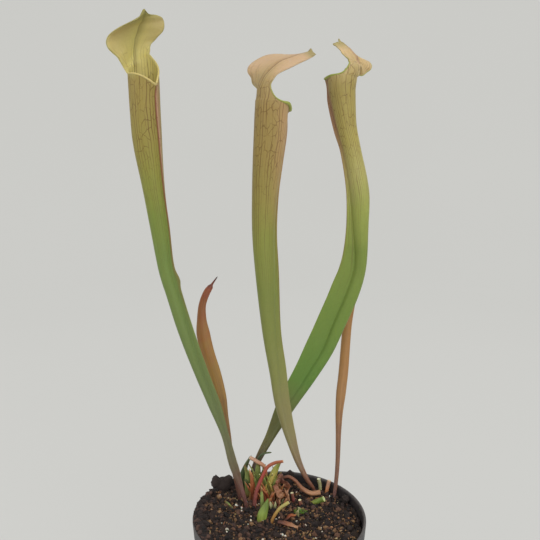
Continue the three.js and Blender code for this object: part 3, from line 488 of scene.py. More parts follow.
# Surfaces of the small leaves: the part's slot, then the colours of the foot, the middle, the far
# end, the cut face and, where it differs, the very tip.
LOOKS = {
    "young_leaf": ("young_leaf", "6e4a42", "906f3a", "924f36", "b98a6a", "3f2a2c"),
    "tan_leaf": ("tan_leaf", "6a4840", "956e43", "a67841", "c2a070"),
    "red_stalk": ("red_stalk", "84544c", "963c34", "a8603e", "cfa880"),
    "orange_stalk": ("orange_stalk", "8a5a3e", "b4764e", "c49a80", "d8c0a4"),
    "plum_stalk": ("red_stalk", "6a3a38", "8e4a46", "9a6a58", "e6dcae"),
    "dark_sheath": ("dark_base", "2e3522", "3a4a2c", "56603a", "7a7a50"),
    "fresh_sheath": ("green_base", "8a5434", "748448", "9aa65c", "c4cc98", "7a5c38"),
    "yellow_sheath": ("green_base", "a46038", "b8a658", "94a04c", "d8daa4", "8a6a3c"),
    "rust_sheath": ("red_stalk", "4a281e", "96502f", "c07c50", "cfa878", "d2a070"),
    "yellow_stalk": ("yellow_stalk", "8a5428", "9c7638", "b4a862", "dcd8b0"),
    "pale_stalk": ("yellow_stalk", "7c7a54", "98966a", "b0ae82", "dcdcc0"),
    "lime_stalk": ("green_base", "a8a850", "7e9040", "6e8438", "d4dc9c"),
    "dry_leaf": ("dry_leaf", "5c3a30", "8c5a42", "ac7e5c", "c8a080"),
}


def linear(hex_colour):
    """An sRGB hex colour as the linear red, green, blue and alpha that shaders use."""
    parts = [int(hex_colour[k:k + 2], 16) / 255 for k in (0, 2, 4)]
    return tuple(c / 12.92 if c <= 0.04045 else ((c + 0.055) / 1.055) ** 2.4 for c in parts) + (1.0,)


def smoothstep(x, low, high):
    """A smooth climb from 0 at low to 1 at high."""
    part = min(max((x - low) / (high - low), 0.0), 1.0)
    return part * part * (3 - 2 * part)


def waves(x, y, z):
    """Smooth noise from crossed waves, between about -1 and 1."""
    a = math.sin(1.3 * x + 0.7 * y + 1.1 * z) + math.sin(0.8 * x - 1.5 * y + 0.6 * z + 2)
    b = math.sin(2.9 * x + 1.9 * y - 1.7 * z + 4) * 0.6 + math.sin(2.1 * y - 2.6 * x + 1) * 0.5
    return (a + b) / 3.1


def soil_height(x, y):
    """The soil's surface: level at the back right, heaped to the rim on the left."""
    leftness = smoothstep(-x - 0.35 * y, -6, 38)
    front = smoothstep(-y, 4, 40)
    lumps = 0.9 * waves(0.42 * x, 0.42 * y, 0) + 0.55 * waves(1.1 * x, 1.1 * y, 3)
    return SOIL_LEVEL + SOIL_HEAP * max(leftness, 0.45 * front) + lumps


def line_through(rows, steps):
    """A centripetal curve through rows of numbers, read at steps from 0 to 1."""
    rows = np.asarray(rows, dtype=float)
    before = 2 * rows[0] - rows[1]
    after = 2 * rows[-1] - rows[-2]
    ends = np.vstack([before, rows, after])
    spans = np.sqrt(np.linalg.norm(np.diff(ends, axis=0), axis=1))
    spans[spans < 1e-4] = 1e-4
    read = []
    for step in np.atleast_1d(steps):
        place = min(max(step, 0.0), 1.0) * (len(rows) - 1)
        k = min(int(place), len(rows) - 2)
        w = place - k
        p0, p1, p2, p3 = ends[k:k + 4]
        d0, d1, d2 = spans[k:k + 3]
        if np.allclose(p1, p2):
            read.append(p1)
            continue
        d0 = d0 if d0 > 1e-3 else d1
        d2 = d2 if d2 > 1e-3 else d1
        out = ((p1 - p0) / d0 - (p2 - p0) / (d0 + d1) + (p2 - p1) / d1) * d1
        into = ((p2 - p1) / d1 - (p3 - p1) / (d1 + d2) + (p3 - p2) / d2) * d1
        bend = -3 * p1 + 3 * p2 - 2 * out - into
        turn = 2 * p1 - 2 * p2 + out + into
        read.append(p1 + out * w + bend * w ** 2 + turn * w ** 3)
    return np.array(read)


def unit(v):
    """A direction of length 1, or each row's."""
    length = np.linalg.norm(v, axis=-1, keepdims=True)
    return v / np.maximum(length, 1e-9)


def directions(points, steps):
    """The direction of the curve through the points at each step."""
    ahead = line_through(points, np.minimum(steps + 1e-3, 1))
    behind = line_through(points, np.maximum(steps - 1e-3, 0))
    return unit(ahead - behind)


def lay_grid(bm, points, uv, u, v, vein=None, turned=0.0):
    """Adds a grid, moves it onto rows and columns of places and gives each corner its u and v."""
    rows, columns = points.shape[:2]
    made = bmesh.ops.create_grid(bm, x_segments=columns - 1, y_segments=rows - 1, size=1)
    corners = made["verts"]
    for corner, place in zip(corners, points.reshape(-1, 3)):
        corner.co = place * MM
    at = {corner: k for k, corner in enumerate(corners)}
    wide = np.broadcast_to(u, (rows, columns)).reshape(-1)
    high = np.broadcast_to(v, (rows, columns)).reshape(-1)
    around = np.broadcast_to(turned, (rows, columns)).reshape(-1)
    for face in {face for corner in corners for face in corner.link_faces}:
        for loop in face.loops:
            k = at[loop.vert]
            loop[uv].uv = (wide[k], high[k])
            if vein:
                loop[vein].uv = (around[k], high[k])
    return [corners[r * columns:(r + 1) * columns] for r in range(rows)]


def open_edges(corners):
    """The open edges among some corners of a mesh."""
    inside = set(corners)
    found = {edge for corner in corners for edge in corner.link_edges if edge.is_boundary}
    return [edge for edge in found if edge.verts[0] in inside and edge.verts[1] in inside]


def spun(profile, steps, weld):
    """A mesh spun round the axis from pairs of a radius and a height, closed where it starts."""
    bm = bmesh.new()
    line = [bm.verts.new((radius * MM, 0, z * MM)) for radius, z in profile]
    edges = [bm.edges.new(pair) for pair in zip(line, line[1:])]
    bmesh.ops.spin(bm, geom=line + edges, cent=(0, 0, 0), axis=(0, 0, 1), dvec=(0, 0, 0),
                   angle=2 * math.pi, steps=steps, use_merge=True, use_duplicate=False)
    bmesh.ops.remove_doubles(bm, verts=bm.verts[:], dist=weld)
    return bm


def bake_modifiers(piece):
    """Applies a piece's modifiers to its mesh."""
    shown = piece.evaluated_get(bpy.context.evaluated_depsgraph_get())
    applied = bpy.data.meshes.new_from_object(shown)
    piece.modifiers.clear()
    piece.data = applied


def finish_piece(bm, name, surface, replaced=(), smooth=True):
    """Makes the object from the mesh, with its faces out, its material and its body."""
    bmesh.ops.recalc_face_normals(bm, faces=bm.faces[:])
    mesh = bpy.data.meshes.new(name)
    bm.to_mesh(mesh)
    bm.free()
    if smooth:
        mesh.shade_smooth()
    piece = bpy.data.objects.new(name, mesh)
    bpy.context.scene.collection.objects.link(piece)
    piece.data.materials.append(surface)
    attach(piece, BODY)
    if replaced:
        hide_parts(*replaced)
    return piece


def plug(tree, node, inputs):
    """Gives each input of a node a value, a socket or the first output of another node."""
    for field, value in inputs.items():
        if isinstance(value, bpy.types.Node):
            value = value.outputs[0]
        if isinstance(value, bpy.types.NodeSocket):
            tree.links.new(value, node.inputs[field])
        else:
            node.inputs[field].default_value = value


def add(tree, kind, inputs=None, stops=None, **settings):
    """Adds a shader node with its own settings, what its inputs read, and a ramp's stops."""
    made = tree.nodes.new(kind)
    for field, value in settings.items():
        setattr(made, field, value)
    plug(tree, made, inputs or {})
    for k, (place, colour) in enumerate(stops or ()):
        elements = made.color_ramp.elements
        element = elements[k] if k < 2 else elements.new(place)
        element.position = place
        element.color = linear(colour) if isinstance(colour, str) else (colour, colour, colour, 1)
    return made


# The sockets of the Mix node when it mixes colours.
MIX_FIRST, MIX_SECOND, MIX_RESULT = 6, 7, 2


def opaque(colour):
    """A colour of the settings with its alpha."""
    return tuple(colour) + (1,)


def new_material(name):
    """A material with an empty tree, its shader and its output."""
    material = bpy.data.materials.new(name)
    material.use_nodes = True
    tree = material.node_tree
    tree.nodes.clear()
    shader = add(tree, "ShaderNodeBsdfPrincipled")
    add(tree, "ShaderNodeOutputMaterial", {"Surface": shader})
    return material, tree, shader


def moulded_polypropylene(settings):
    """Injection moulded black polypropylene: dull, with a fine grain, dust, and a paler rim top of scuffs
    and painted sheen.
    """
    material, tree, shader = new_material("moulded_polypropylene")
    place = add(tree, "ShaderNodeTexCoord").outputs["Object"]
    # A mould's grain of about 0.5 mm, and smears of dust about 12 mm across.
    grain = add(tree, "ShaderNodeTexNoise", {"Vector": place, "Scale": 2000.0, "Detail": 3.0})
    smears = {"Vector": place, "Scale": 85.0, "Detail": 6.0, "Roughness": 0.65}
    dust = add(tree, "ShaderNodeTexNoise", smears)
    dusty = add(tree, "ShaderNodeValToRGB", {"Fac": dust}, ((0.48, 0.0), (0.8, 0.55)))
    # The top 1.6 mm of the rim is paler in specks of about 1.5 mm: scuffs, and a painted sheen where the
    # rim catches the light.
    height = add(tree, "ShaderNodeSeparateXYZ", {"Vector": place}).outputs["Z"]
    low, high = (POT_HEIGHT - 1.6) * MM, POT_HEIGHT * MM
    edge = add(tree, "ShaderNodeMapRange", {"Value": height, "From Min": low, "From Max": high})
    speck = add(tree, "ShaderNodeTexNoise", {"Vector": place, "Scale": 700.0, "Detail": 4.0})
    scuffs_and_sheen = add(tree, "ShaderNodeMath", {0: edge, 1: speck}, operation="MULTIPLY")
    layers = {0: dusty, MIX_FIRST: opaque(settings.plastic), MIX_SECOND: linear("5b5048")}
    colour = add(tree, "ShaderNodeMix", layers, data_type="RGBA").outputs[MIX_RESULT]
    layers = {0: scuffs_and_sheen, MIX_FIRST: colour, MIX_SECOND: linear("6a6563")}
    colour = add(tree, "ShaderNodeMix", layers, data_type="RGBA").outputs[MIX_RESULT]
    rough = add(tree, "ShaderNodeMapRange", {"Value": dust, "To Min": 0.36, "To Max": 0.62})
    bump = add(tree, "ShaderNodeBump", {"Height": grain, "Strength": 0.25, "Distance": 0.0002})
    plug(tree, shader, {"Base Color": colour, "Roughness": rough, "Normal": bump})
    return material


def damp_peat(settings):
    """Damp sphagnum peat with sand: nearly black, fibrous, with a few moist glints."""
    material, tree, shader = new_material("damp_peat")
    place = add(tree, "ShaderNodeTexCoord").outputs["Object"]
    # Fibres and grains of 0.5 to 3 mm.
    fibres = {"Vector": place, "Scale": 420.0, "Detail": 8.0, "Roughness": 0.7}
    coarse = add(tree, "ShaderNodeTexNoise", fibres)
    fine = add(tree, "ShaderNodeTexNoise", {"Vector": place, "Scale": 1700.0, "Detail": 4.0})
    stops = ((0.3, "150e0c"), (0.5, "2a1d17"), (0.66, "43311f"), (0.8, "6b563c"))
    colour = add(tree, "ShaderNodeValToRGB", {"Fac": coarse}, stops)
    layers = {0: 0.35, MIX_FIRST: colour, MIX_SECOND: opaque(settings.peat)}
    colour = add(tree, "ShaderNodeMix", layers, data_type="RGBA").outputs[MIX_RESULT]
    rough = add(tree, "ShaderNodeMapRange", {"Value": fine, "To Min": 0.55, "To Max": 1.0})
    height = add(tree, "ShaderNodeMath", {0: coarse, 1: fine}, operation="ADD")
    bump = add(tree, "ShaderNodeBump", {"Height": height, "Strength": 0.8, "Distance": 0.0008})
    plug(tree, shader, {"Base Color": colour, "Roughness": rough, "Normal": bump})
    return material


def toned_grains(name, stops, rough, subsurface=0.0):
    """Loose grains whose colours run through the stops by each grain's own tone."""
    material, tree, shader = new_material(name)
    tone = add(tree, "ShaderNodeAttribute", attribute_name="tone").outputs["Fac"]
    place = add(tree, "ShaderNodeTexCoord").outputs["Object"]
    # Pits and flecks of about 0.6 mm on each grain.
    pits = {"Vector": place, "Scale": 1600.0, "Detail": 5.0, "Roughness": 0.7}
    fleck = add(tree, "ShaderNodeTexNoise", pits)
    shift = add(tree, "ShaderNodeMapRange", {"Value": fleck, "To Min": -0.22, "To Max": 0.22})
    flecked = add(tree, "ShaderNodeMath", {0: tone, 1: shift}, operation="ADD")
    colour = add(tree, "ShaderNodeValToRGB", {"Fac": flecked}, stops)
    bump = add(tree, "ShaderNodeBump", {"Height": fleck, "Strength": 0.7, "Distance": 0.0005})
    plug(tree, shader, {
        "Base Color": colour, "Normal": bump, "Roughness": rough,
        "Subsurface Weight": subsurface, "Subsurface Scale": 0.0006,
    })
    return material


def rhizome_bark():
    """The rootstock's skin: dull brown bark in rings, with flakes and paler root scars."""
    material, tree, shader = new_material("rhizome_bark")
    place = add(tree, "ShaderNodeTexCoord").outputs["Object"]
    # Flakes about 2 mm across.
    scales = {"Vector": place, "Scale": 520.0, "Detail": 7.0, "Roughness": 0.65}
    flakes = add(tree, "ShaderNodeTexNoise", scales)
    stops = ((0.3, "1f130e"), (0.5, "3f281c"), (0.62, "5c3e2a"), (0.78, "8a6444"))
    colour = add(tree, "ShaderNodeValToRGB", {"Fac": flakes}, stops)
    bump = add(tree, "ShaderNodeBump", {"Height": flakes, "Strength": 0.8, "Distance": 0.0008})
    plug(tree, shader, {"Base Color": colour, "Normal": bump, "Roughness": 0.85})
    return material


def waxy_pitcher_leaf(name, data, settings, lip):
    """A pitcher's waxy leaf: green to tan along its length, red-brown veins that net near the mouth."""
    material, tree, shader = new_material(name)
    place = add(tree, "ShaderNodeUVMap", uv_map="leaf")
    part = add(tree, "ShaderNodeSeparateXYZ", {"Vector": place})
    # The outer face is laid out from 0 to 1 across, the rolled lip from 2 to 3, the inside from 4 to 5.
    laid, along = part.outputs["X"], part.outputs["Y"]
    across = add(tree, "ShaderNodeMath", {0: laid}, operation="FRACT")
    around = add(tree, "ShaderNodeUVMap", uv_map="vein")
    turned = add(tree, "ShaderNodeSeparateXYZ", {"Vector": around})
    thing = add(tree, "ShaderNodeTexCoord").outputs["Object"]

    # Soft patches of 15 mm, the veins' wander, each vein's strength, where the net breaks, specks.
    noises = {}
    for key, vector, stretch, detail in (
        ("patch", thing, (65.0, 65.0, 65.0), 3.0), ("wander", around, (9.0, 12.0, 1.0), 2.0),
        ("single", around, (34.0, 7.0, 1.0), 1.0), ("broken", thing, (170.0, 170.0, 170.0), 2.0),
        ("speck", thing, (900.0, 900.0, 900.0), 3.0),
    ):
        vector = add(tree, "ShaderNodeMapping", {"Vector": vector, "Scale": stretch})
        noises[key] = add(tree, "ShaderNodeTexNoise", {"Vector": vector, "Scale": 1.0, "Detail": detail})

    # The colour runs up the leaf and sways by 0.03 of its length to each side.
    sway = add(tree, "ShaderNodeMath", {0: noises["patch"], 1: 0.5}, operation="SUBTRACT")
    up = add(tree, "ShaderNodeMath", {0: sway, 1: 0.06, 2: along}, operation="MULTIPLY_ADD")
    colour = add(tree, "ShaderNodeValToRGB", {"Fac": up}, data["colours"])

    # How near a place is to the margins or the wing: 0 at the back, 0.5 at the edge.
    half = add(tree, "ShaderNodeMath", {0: across, 1: 0.5}, operation="SUBTRACT")
    edge = add(tree, "ShaderNodeMath", {0: half}, operation="ABSOLUTE")

    # Long veins 1.6 mm apart at the mouth, and a net of cells of about 2.5 by 5 mm.
    bent = {0: noises["wander"], 1: VEIN_WANDER, 2: turned}
    bent = add(tree, "ShaderNodeMath", bent, operation="MULTIPLY_ADD")
    count = add(tree, "ShaderNodeMath", {0: bent, 1: VEIN_HALF_GAPS}, operation="MULTIPLY")
    saw = add(tree, "ShaderNodeMath", {0: count, 1: 1.0}, operation="PINGPONG")
    joined = add(tree, "ShaderNodeCombineXYZ", {"X": bent, "Y": along})
    cells = add(tree, "ShaderNodeMapping", {"Vector": joined, "Scale": NET_CELLS})
    swirl = add(tree, "ShaderNodeTexNoise", {"Vector": cells, "Scale": 1.1, "Detail": 2.0}).outputs["Color"]
    cells = {0: swirl, 1: (0.8, 0.8, 0.0), 2: cells}
    cells = add(tree, "ShaderNodeVectorMath", cells, operation="MULTIPLY_ADD")
    net = add(tree, "ShaderNodeTexVoronoi", {"Vector": cells, "Scale": 1.0},
              feature="DISTANCE_TO_EDGE", voronoi_dimensions="2D")

    # Each span is the value that it reads, where it starts, and where it is full.
    # The fold's colour and depth make a band of painted shade beside the rib.
    far, near, fold_shade_colour, fold_shade_depth = data["fold"]
    spans = {
        "hood": (along, lip + 0.03, lip + 0.07),
        "outward": (edge, 0.05, 0.42),
        "tube": (along, lip + 0.004, lip - 0.006),
        "below": (along, lip + 0.07, lip - 0.03),
        "flank": (turned, *data["flank"][:2]),
        "upper": (along, *data["flank"][3:]),
        "wing_edge": (edge, *data["seam"][:2]),
        "risen": (along, *data["seam"][2:]),
        "line": (saw, 0.3, 0.1),
        "strong": (noises["single"], 0.37, 0.58),
        "veined": (along, lip - 0.45, lip - 0.18),
        "throat": (along, lip + 0.09, lip + 0.015),
        "mesh": (net, 0.07, 0.024),
        "netted": (along, lip - 0.25, lip - 0.08),
        "whole": (noises["broken"], 0.42, 0.58),
        "rib": (edge, 0.022, 0.01),
        "ribbed": (along, lip + 0.01, lip + 0.04),
        "beside": (across, far, near),
        "folded": (across, 0.5, 0.5 + (far - near) * 0.1),
        "tip": (along, 0.97, 0.99),
        "rolled": (laid, 1.4, 1.6),
        "lip": (along, lip + 0.07, lip + 0.02),
        "outside": (laid, 3.6, 3.4),
        "inside": (laid, 3.4, 3.6),
        "neck": (along, lip + 0.11, lip + 0.03),
    }
    at = {}
    for key, (value, low, high) in spans.items():
        at[key] = add(tree, "ShaderNodeMapRange", {"Value": value, "From Min": low, "From Max": high})

    # Each tint is laid over the last by the product of its spans and its strength: the hood's
    # lobes, a pinker band on one flank, the wing's edge, painted light that brightens the lining,
    # painted shade beside the rib's fold, the net, the veins, the rib, the green tip and each
    # pitcher's own lip.
    tints = (
        (("hood", "outward"), 1.0, linear(data["lobe"])),
        (("flank", "upper", "below"), 0.8, linear(data["flank"][2])),
        (("wing_edge", "tube", "risen"), settings.seam_depth, opaque(settings.seam)),
        # Painted light: the inner face is brightened toward and below the neck, as if lit through the leaf.
        (("inside", "neck"), 0.75, linear(data["lining"])),
        # Painted shade: a darker band on one side of the rib's fold.
        (("beside", "folded", "ribbed"), fold_shade_depth, linear(fold_shade_colour)),
        (("mesh", "netted", "throat", "whole"), settings.vein_depth * 0.8, opaque(settings.vein)),
        (("line", "strong", "veined", "throat"), settings.vein_depth, opaque(settings.vein)),
        (("rib", "ribbed"), 0.8, linear(data["rib"])),
        (("tip",), 0.6, opaque(settings.tip)),
        (("rolled", "outside", "lip"), 0.9, linear(data["lip"])),
    )
    for keys, amount, tint in tints:
        for key in keys:
            amount = add(tree, "ShaderNodeMath", {0: at[key], 1: amount}, operation="MULTIPLY")
        layers = {0: amount, MIX_FIRST: colour, MIX_SECOND: tint}
        colour = add(tree, "ShaderNodeMix", layers, data_type="RGBA").outputs[MIX_RESULT]
    shade = add(tree, "ShaderNodeMapRange", {"Value": noises["speck"], "To Min": 0.92, "To Max": 1.08})
    layers = {0: 1.0, MIX_FIRST: colour, MIX_SECOND: shade}
    colour = add(tree, "ShaderNodeMix", layers, data_type="RGBA", blend_type="MULTIPLY").outputs[MIX_RESULT]
    relief = {0: noises["speck"], 1: 0.25, 2: at["line"]}
    relief = add(tree, "ShaderNodeMath", relief, operation="MULTIPLY_ADD")
    bump = add(tree, "ShaderNodeBump", {"Height": relief, "Strength": 0.25, "Distance": 0.0002})
    plug(tree, shader, {
        "Base Color": colour, "Normal": bump, "Roughness": 0.5, "Specular IOR Level": 0.3,
        "Subsurface Weight": 0.3, "Subsurface Radius": (1.0, 0.85, 0.4), "Subsurface Scale": 0.002,
    })
    return material


def withering_stalk(name, foot, middle, far, cut, tip=None):
    """A small leaf or a cut stalk: streaked along its length, with a pale pith where it is cut."""
    material, tree, shader = new_material(name)
    place = add(tree, "ShaderNodeUVMap", uv_map="leaf")
    part = add(tree, "ShaderNodeSeparateXYZ", {"Vector": place})
    across, along = part.outputs["X"], part.outputs["Y"]
    thing = add(tree, "ShaderNodeTexCoord").outputs["Object"]
    # Streaks about 0.6 mm wide and 10 mm long, and blotches of about 4 mm.
    stretch = add(tree, "ShaderNodeMapping", {"Vector": place, "Scale": (14.0, 3.0, 1.0)})
    streak = add(tree, "ShaderNodeTexNoise", {"Vector": stretch, "Scale": 1.0, "Detail": 4.0})
    blotch = add(tree, "ShaderNodeTexNoise", {"Vector": thing, "Scale": 250.0, "Detail": 4.0})
    sway = add(tree, "ShaderNodeMapRange", {"Value": blotch, "To Min": -0.15, "To Max": 0.15})
    up = add(tree, "ShaderNodeMath", {0: along, 1: sway}, operation="ADD")
    stops = ((0.1, foot), (0.5, middle), (0.86, far), (0.98, tip or far))
    colour = add(tree, "ShaderNodeValToRGB", {"Fac": up}, stops)
    streaks = {"Value": streak, "From Min": 0.3, "From Max": 0.7, "To Min": 0.72, "To Max": 1.2}
    shade = add(tree, "ShaderNodeMapRange", streaks)
    layers = {0: 1.0, MIX_FIRST: colour, MIX_SECOND: shade}
    colour = add(tree, "ShaderNodeMix", layers, data_type="RGBA", blend_type="MULTIPLY").outputs[MIX_RESULT]
    # The cut face is laid out from 2 to 3 across.
    pith = add(tree, "ShaderNodeMath", {0: across, 1: 1.5}, operation="GREATER_THAN")
    layers = {0: pith, MIX_FIRST: colour, MIX_SECOND: linear(cut)}
    colour = add(tree, "ShaderNodeMix", layers, data_type="RGBA").outputs[MIX_RESULT]
    bump = add(tree, "ShaderNodeBump", {"Height": streak, "Strength": 0.5, "Distance": 0.0004})
    plug(tree, shader, {
        "Base Color": colour, "Normal": bump, "Roughness": 0.5, "Specular IOR Level": 0.4,
        "Subsurface Weight": 0.15, "Subsurface Radius": (1.0, 0.7, 0.3), "Subsurface Scale": 0.001,
    })
    return material


def moss_leaf():
    """Young moss: bright wet green, a little see-through at its tips."""
    material, tree, shader = new_material("moss_leaf")
    tone = add(tree, "ShaderNodeAttribute", attribute_name="tone").outputs["Fac"]
    stops = ((0.0, "1f3a12"), (0.6, "3f7a1e"), (1.0, "7aa63a"))
    colour = add(tree, "ShaderNodeValToRGB", {"Fac": tone}, stops)
    plug(tree, shader, {
        "Base Color": colour, "Roughness": 0.5, "Subsurface Weight": 0.2, "Subsurface Scale": 0.0005,
    })
    return material


def matt_paper(settings):
    """Plain matt backdrop paper, lit from behind as in a light tent, so that it looks even."""
    material, tree, shader = new_material("matt_paper")
    place = add(tree, "ShaderNodeTexCoord").outputs["Object"]
    # Clouds of about half a metre, hardly seen.
    cloud = add(tree, "ShaderNodeTexNoise", {"Vector": place, "Scale": 2.0, "Detail": 2.0})
    shade = add(tree, "ShaderNodeMapRange", {"Value": cloud, "To Min": 0.985, "To Max": 1.015})
    layers = {0: 1.0, MIX_FIRST: opaque(settings.paper), MIX_SECOND: shade}
    colour = add(tree, "ShaderNodeMix", layers, data_type="RGBA", blend_type="MULTIPLY").outputs[MIX_RESULT]
    plug(tree, shader, {
        "Base Color": colour, "Emission Color": colour, "Emission Strength": settings.tent,
        "Roughness": 0.9, "Specular IOR Level": 0.1,
    })
    return material


def closed_row(centre, front, side, radius, wing):
    """One row round a closed tube: its wing's edge, round the back, and to the edge again."""
    root = WING_HALF * min(wing / WING_FULL, 1.0)
    bend = math.asin(min(root / radius, 0.9))
    angle = np.linspace(bend - math.pi, math.pi - bend, TUBE_COLUMNS + 1)
    reach = list(-np.cos(angle) * radius)
    lean = list(np.sin(angle) * radius)
    start = radius * math.cos(bend)
    blade = [(start + (radius + wing - start) * part, root * half) for part, half in WING_PROFILE]
    reach = [out for out, _ in reversed(blade)] + reach + [out for out, _ in blade]
    lean = [-half for _, half in reversed(blade)] + lean + [half for _, half in blade]
    return centre + np.outer(reach, front) + np.outer(lean, side)


def inner_row(centre, front, side, radius):
    """The inner face of a closed tube, with as many columns as the outer one."""
    angle = np.linspace(-math.pi, math.pi, COLUMNS + 1)
    return centre + np.outer(-np.cos(angle) * radius, front) + np.outer(np.sin(angle) * radius, side)


def mouth_angles(gap, part):
    """Where round the tube the columns of a mouth's row stand, in radians from the back."""
    edge = math.pi - gap * part
    share = MOUTH_SHOULDER + (TUBE_COLUMNS / COLUMNS - MOUTH_SHOULDER) * smoothstep(part, 0, 1)
    shoulder = edge * share
    return np.concatenate([
        np.linspace(-edge, -shoulder, WING_COLUMNS, endpoint=False),
        np.linspace(-shoulder, shoulder, TUBE_COLUMNS + 1),
        np.linspace(shoulder, edge, WING_COLUMNS + 1)[1:],
    ])


def vein_columns(gap, rows):
    """Where each column of each row lies round the tube, so that veins run on into the hood."""
    mouth = [
        0.5 + mouth_angles(gap, (k / MOUTH_ROWS) ** MOUTH_POWER) / (2 * math.pi) * TUBE_COLUMNS / COLUMNS
        for k in range(1, MOUTH_ROWS + 1)
    ]
    tube = [np.linspace(0, 1, COLUMNS + 1)] * (TUBE_ROWS + 1)
    return np.array(tube + mouth + mouth[-1:] * (rows - len(tube) - len(mouth)))


def mouth_row(top, rise, front, side, mouth, part, sheet):
    """One row of the mouth: an arc round the back that climbs from one margin to the other."""
    first, second, power, gap, back, lean, swell = mouth
    angle = mouth_angles(gap, part)
    edge = angle[-1]
    climb = MOUTH_EVEN * part + (1 - MOUTH_EVEN) * part ** power
    lift = climb * ((second + first) / 2 + (second - first) / 2 * angle / edge)
    lift += swell * math.sin(math.pi * part) * np.maximum(-angle / edge, 0) ** 3
    middle = top[:3] - front * back * part ** lean + np.outer(lift, rise)
    outer, inner = (
        middle + np.outer(-np.cos(angle) * radius, front) + np.outer(np.sin(angle) * radius, side)
        for radius in (top[3], top[3] - sheet)
    )
    return outer, inner


def hood_row(corners, fold):
    """A hood row through one margin, the rib and the other margin: smooth, or bent at the rib."""
    low, rib, high = (np.array(corner, dtype=float) for corner in corners)
    q = np.linspace(-1, 1, COLUMNS + 1)[:, None]
    smooth = low * (q * q - q) / 2 + rib * (1 - q * q) + high * (q * q + q) / 2
    out = np.abs(q)
    reach = FOLD_STRAIGHT * out + (1 - FOLD_STRAIGHT) * out ** 2
    bent = rib + (np.where(q < 0, low, high) - rib) * reach
    return smooth * (1 - fold) + bent * fold


def pitcher_faces(data, sheet, ripple):
    """Rows of places on a pitcher's outer and inner face, and the hollow's first row."""
    tube = np.array(data["tube"], dtype=float)
    steps = np.linspace(0, 1, TUBE_ROWS + 1)
    centres = line_through(tube[:, :3], steps)
    along = directions(tube[:, :3], steps)
    sizes = line_through(tube[:, 3:], steps)
    outer, inner = [], []
    hollow = None
    for j, (centre, rise, (radius, wing, facing)) in enumerate(zip(centres, along, sizes)):
        turn = math.radians(facing)
        front = np.array([math.cos(turn), math.sin(turn), 0.0])
        front = unit(front - rise * front.dot(rise))
        side = np.cross(rise, front)
        outer.append(closed_row(centre, front, side, radius, max(wing, 0.0)))
        inner.append(inner_row(centre, front, side, radius - sheet))
        if hollow is None and radius > HOLLOW_FROM_RADIUS:
            hollow = j
    for k in range(1, MOUTH_ROWS + 1):
        part = (k / MOUTH_ROWS) ** MOUTH_POWER
        face, lining = mouth_row(tube[-1], along[-1], front, side, data["mouth"], part, sheet)
        outer.append(face)
        inner.append(lining)
    outer, inner = np.array(outer), np.array(inner)

    # The hood's rows run on smoothly from the mouth's, and the inner face follows below them.
    hood = [hood_row(row, min((k + 1) / FOLD_ROWS, 1)) for k, row in enumerate(data["hood"])]
    control = np.array([outer[-3], outer[-1]] + hood).reshape(len(hood) + 2, -1)
    steps = np.linspace(1 / (len(control) - 1), 1, HOOD_ROWS + 1)[1:]
    hood = line_through(control, steps).reshape(HOOD_ROWS, COLUMNS + 1, 3)
    whole = np.concatenate([outer, hood])
    up = np.gradient(whole, axis=0)
    around = np.gradient(whole, axis=1)
    out = unit(np.cross(up, around))
    q = np.linspace(-1, 1, COLUMNS + 1)
    first = len(outer)
    for j in range(first, len(whole)):
        part = (j - first + 1) / HOOD_ROWS
        fade = math.sin(math.pi * min(part, 1.0)) ** 0.7
        wave = np.sin(part * HOOD_WAVES + q * HOOD_WAVE_SLANT) * np.abs(q) ** 3 * ripple * fade
        crease = -CREASE_DEPTH * np.exp(-(q / CREASE_WIDTH) ** 2) * fade
        whole[j] += out[j] * (wave + crease)[:, None]
    thin = sheet * (1 - MARGIN_THINNING * np.abs(q) ** 4)
    below = whole[first:] - out[first:] * thin[None, :, None]
    inner = np.concatenate([inner, below])
    return whole, inner, hollow


def pull_spout(places, lip, front, spout):
    """Draws the front of the lip out and up or down into a small spout."""
    away = np.linalg.norm(places - lip, axis=-1)
    weight = np.exp(-(away / SPOUT_REACH) ** 2)[..., None]
    push = front * spout[0] + np.array([0.0, 0.0, spout[1]])
    return places + weight * push


def rolled_margin(outer, inner, roll, front):
    """The rolled edge of the mouth and hood: a ring of places round a closed path."""
    lip = TUBE_ROWS
    middle = (outer + inner) / 2
    away = unit(outer - inner)
    rows = np.arange(lip, len(outer))
    path = np.concatenate([middle[rows, -1], middle[-1, -2:0:-1], middle[rows[::-1], 0]])
    out = np.concatenate([away[rows, -1], away[-1, -2:0:-1], away[rows[::-1], 0]])
    part = np.concatenate([rows - lip, np.full(COLUMNS - 1, len(rows)), rows[::-1] - lip]) / len(rows)
    size = roll * np.interp(part, ROLL_PLACES, (front, front * ROLL_SIZES[0], *ROLL_SIZES[1:]))
    path = path + out * (size * 0.5)[:, None]
    ahead = unit(np.roll(path, -1, axis=0) - np.roll(path, 1, axis=0))
    first = unit(out - ahead * np.sum(out * ahead, axis=1, keepdims=True))
    second = np.cross(ahead, first)
    angle = np.linspace(0, 2 * math.pi, BEAD_COLUMNS + 1)
    ring = np.cos(angle)[None, :, None] * first[:, None] + np.sin(angle)[None, :, None] * second[:, None]
    places = path[:, None] + ring * size[:, None, None]
    return np.concatenate([places, places[:1]]), np.concatenate([part, part[:1]])


def length_along(rows):
    """How far along the leaf each row is, from 0 at the foot to 1 at the tip."""
    middle = rows[:, COLUMNS // 2]
    steps = np.linalg.norm(np.diff(middle, axis=0), axis=1)
    total = np.concatenate([[0], np.cumsum(steps)])
    return total / total[-1]


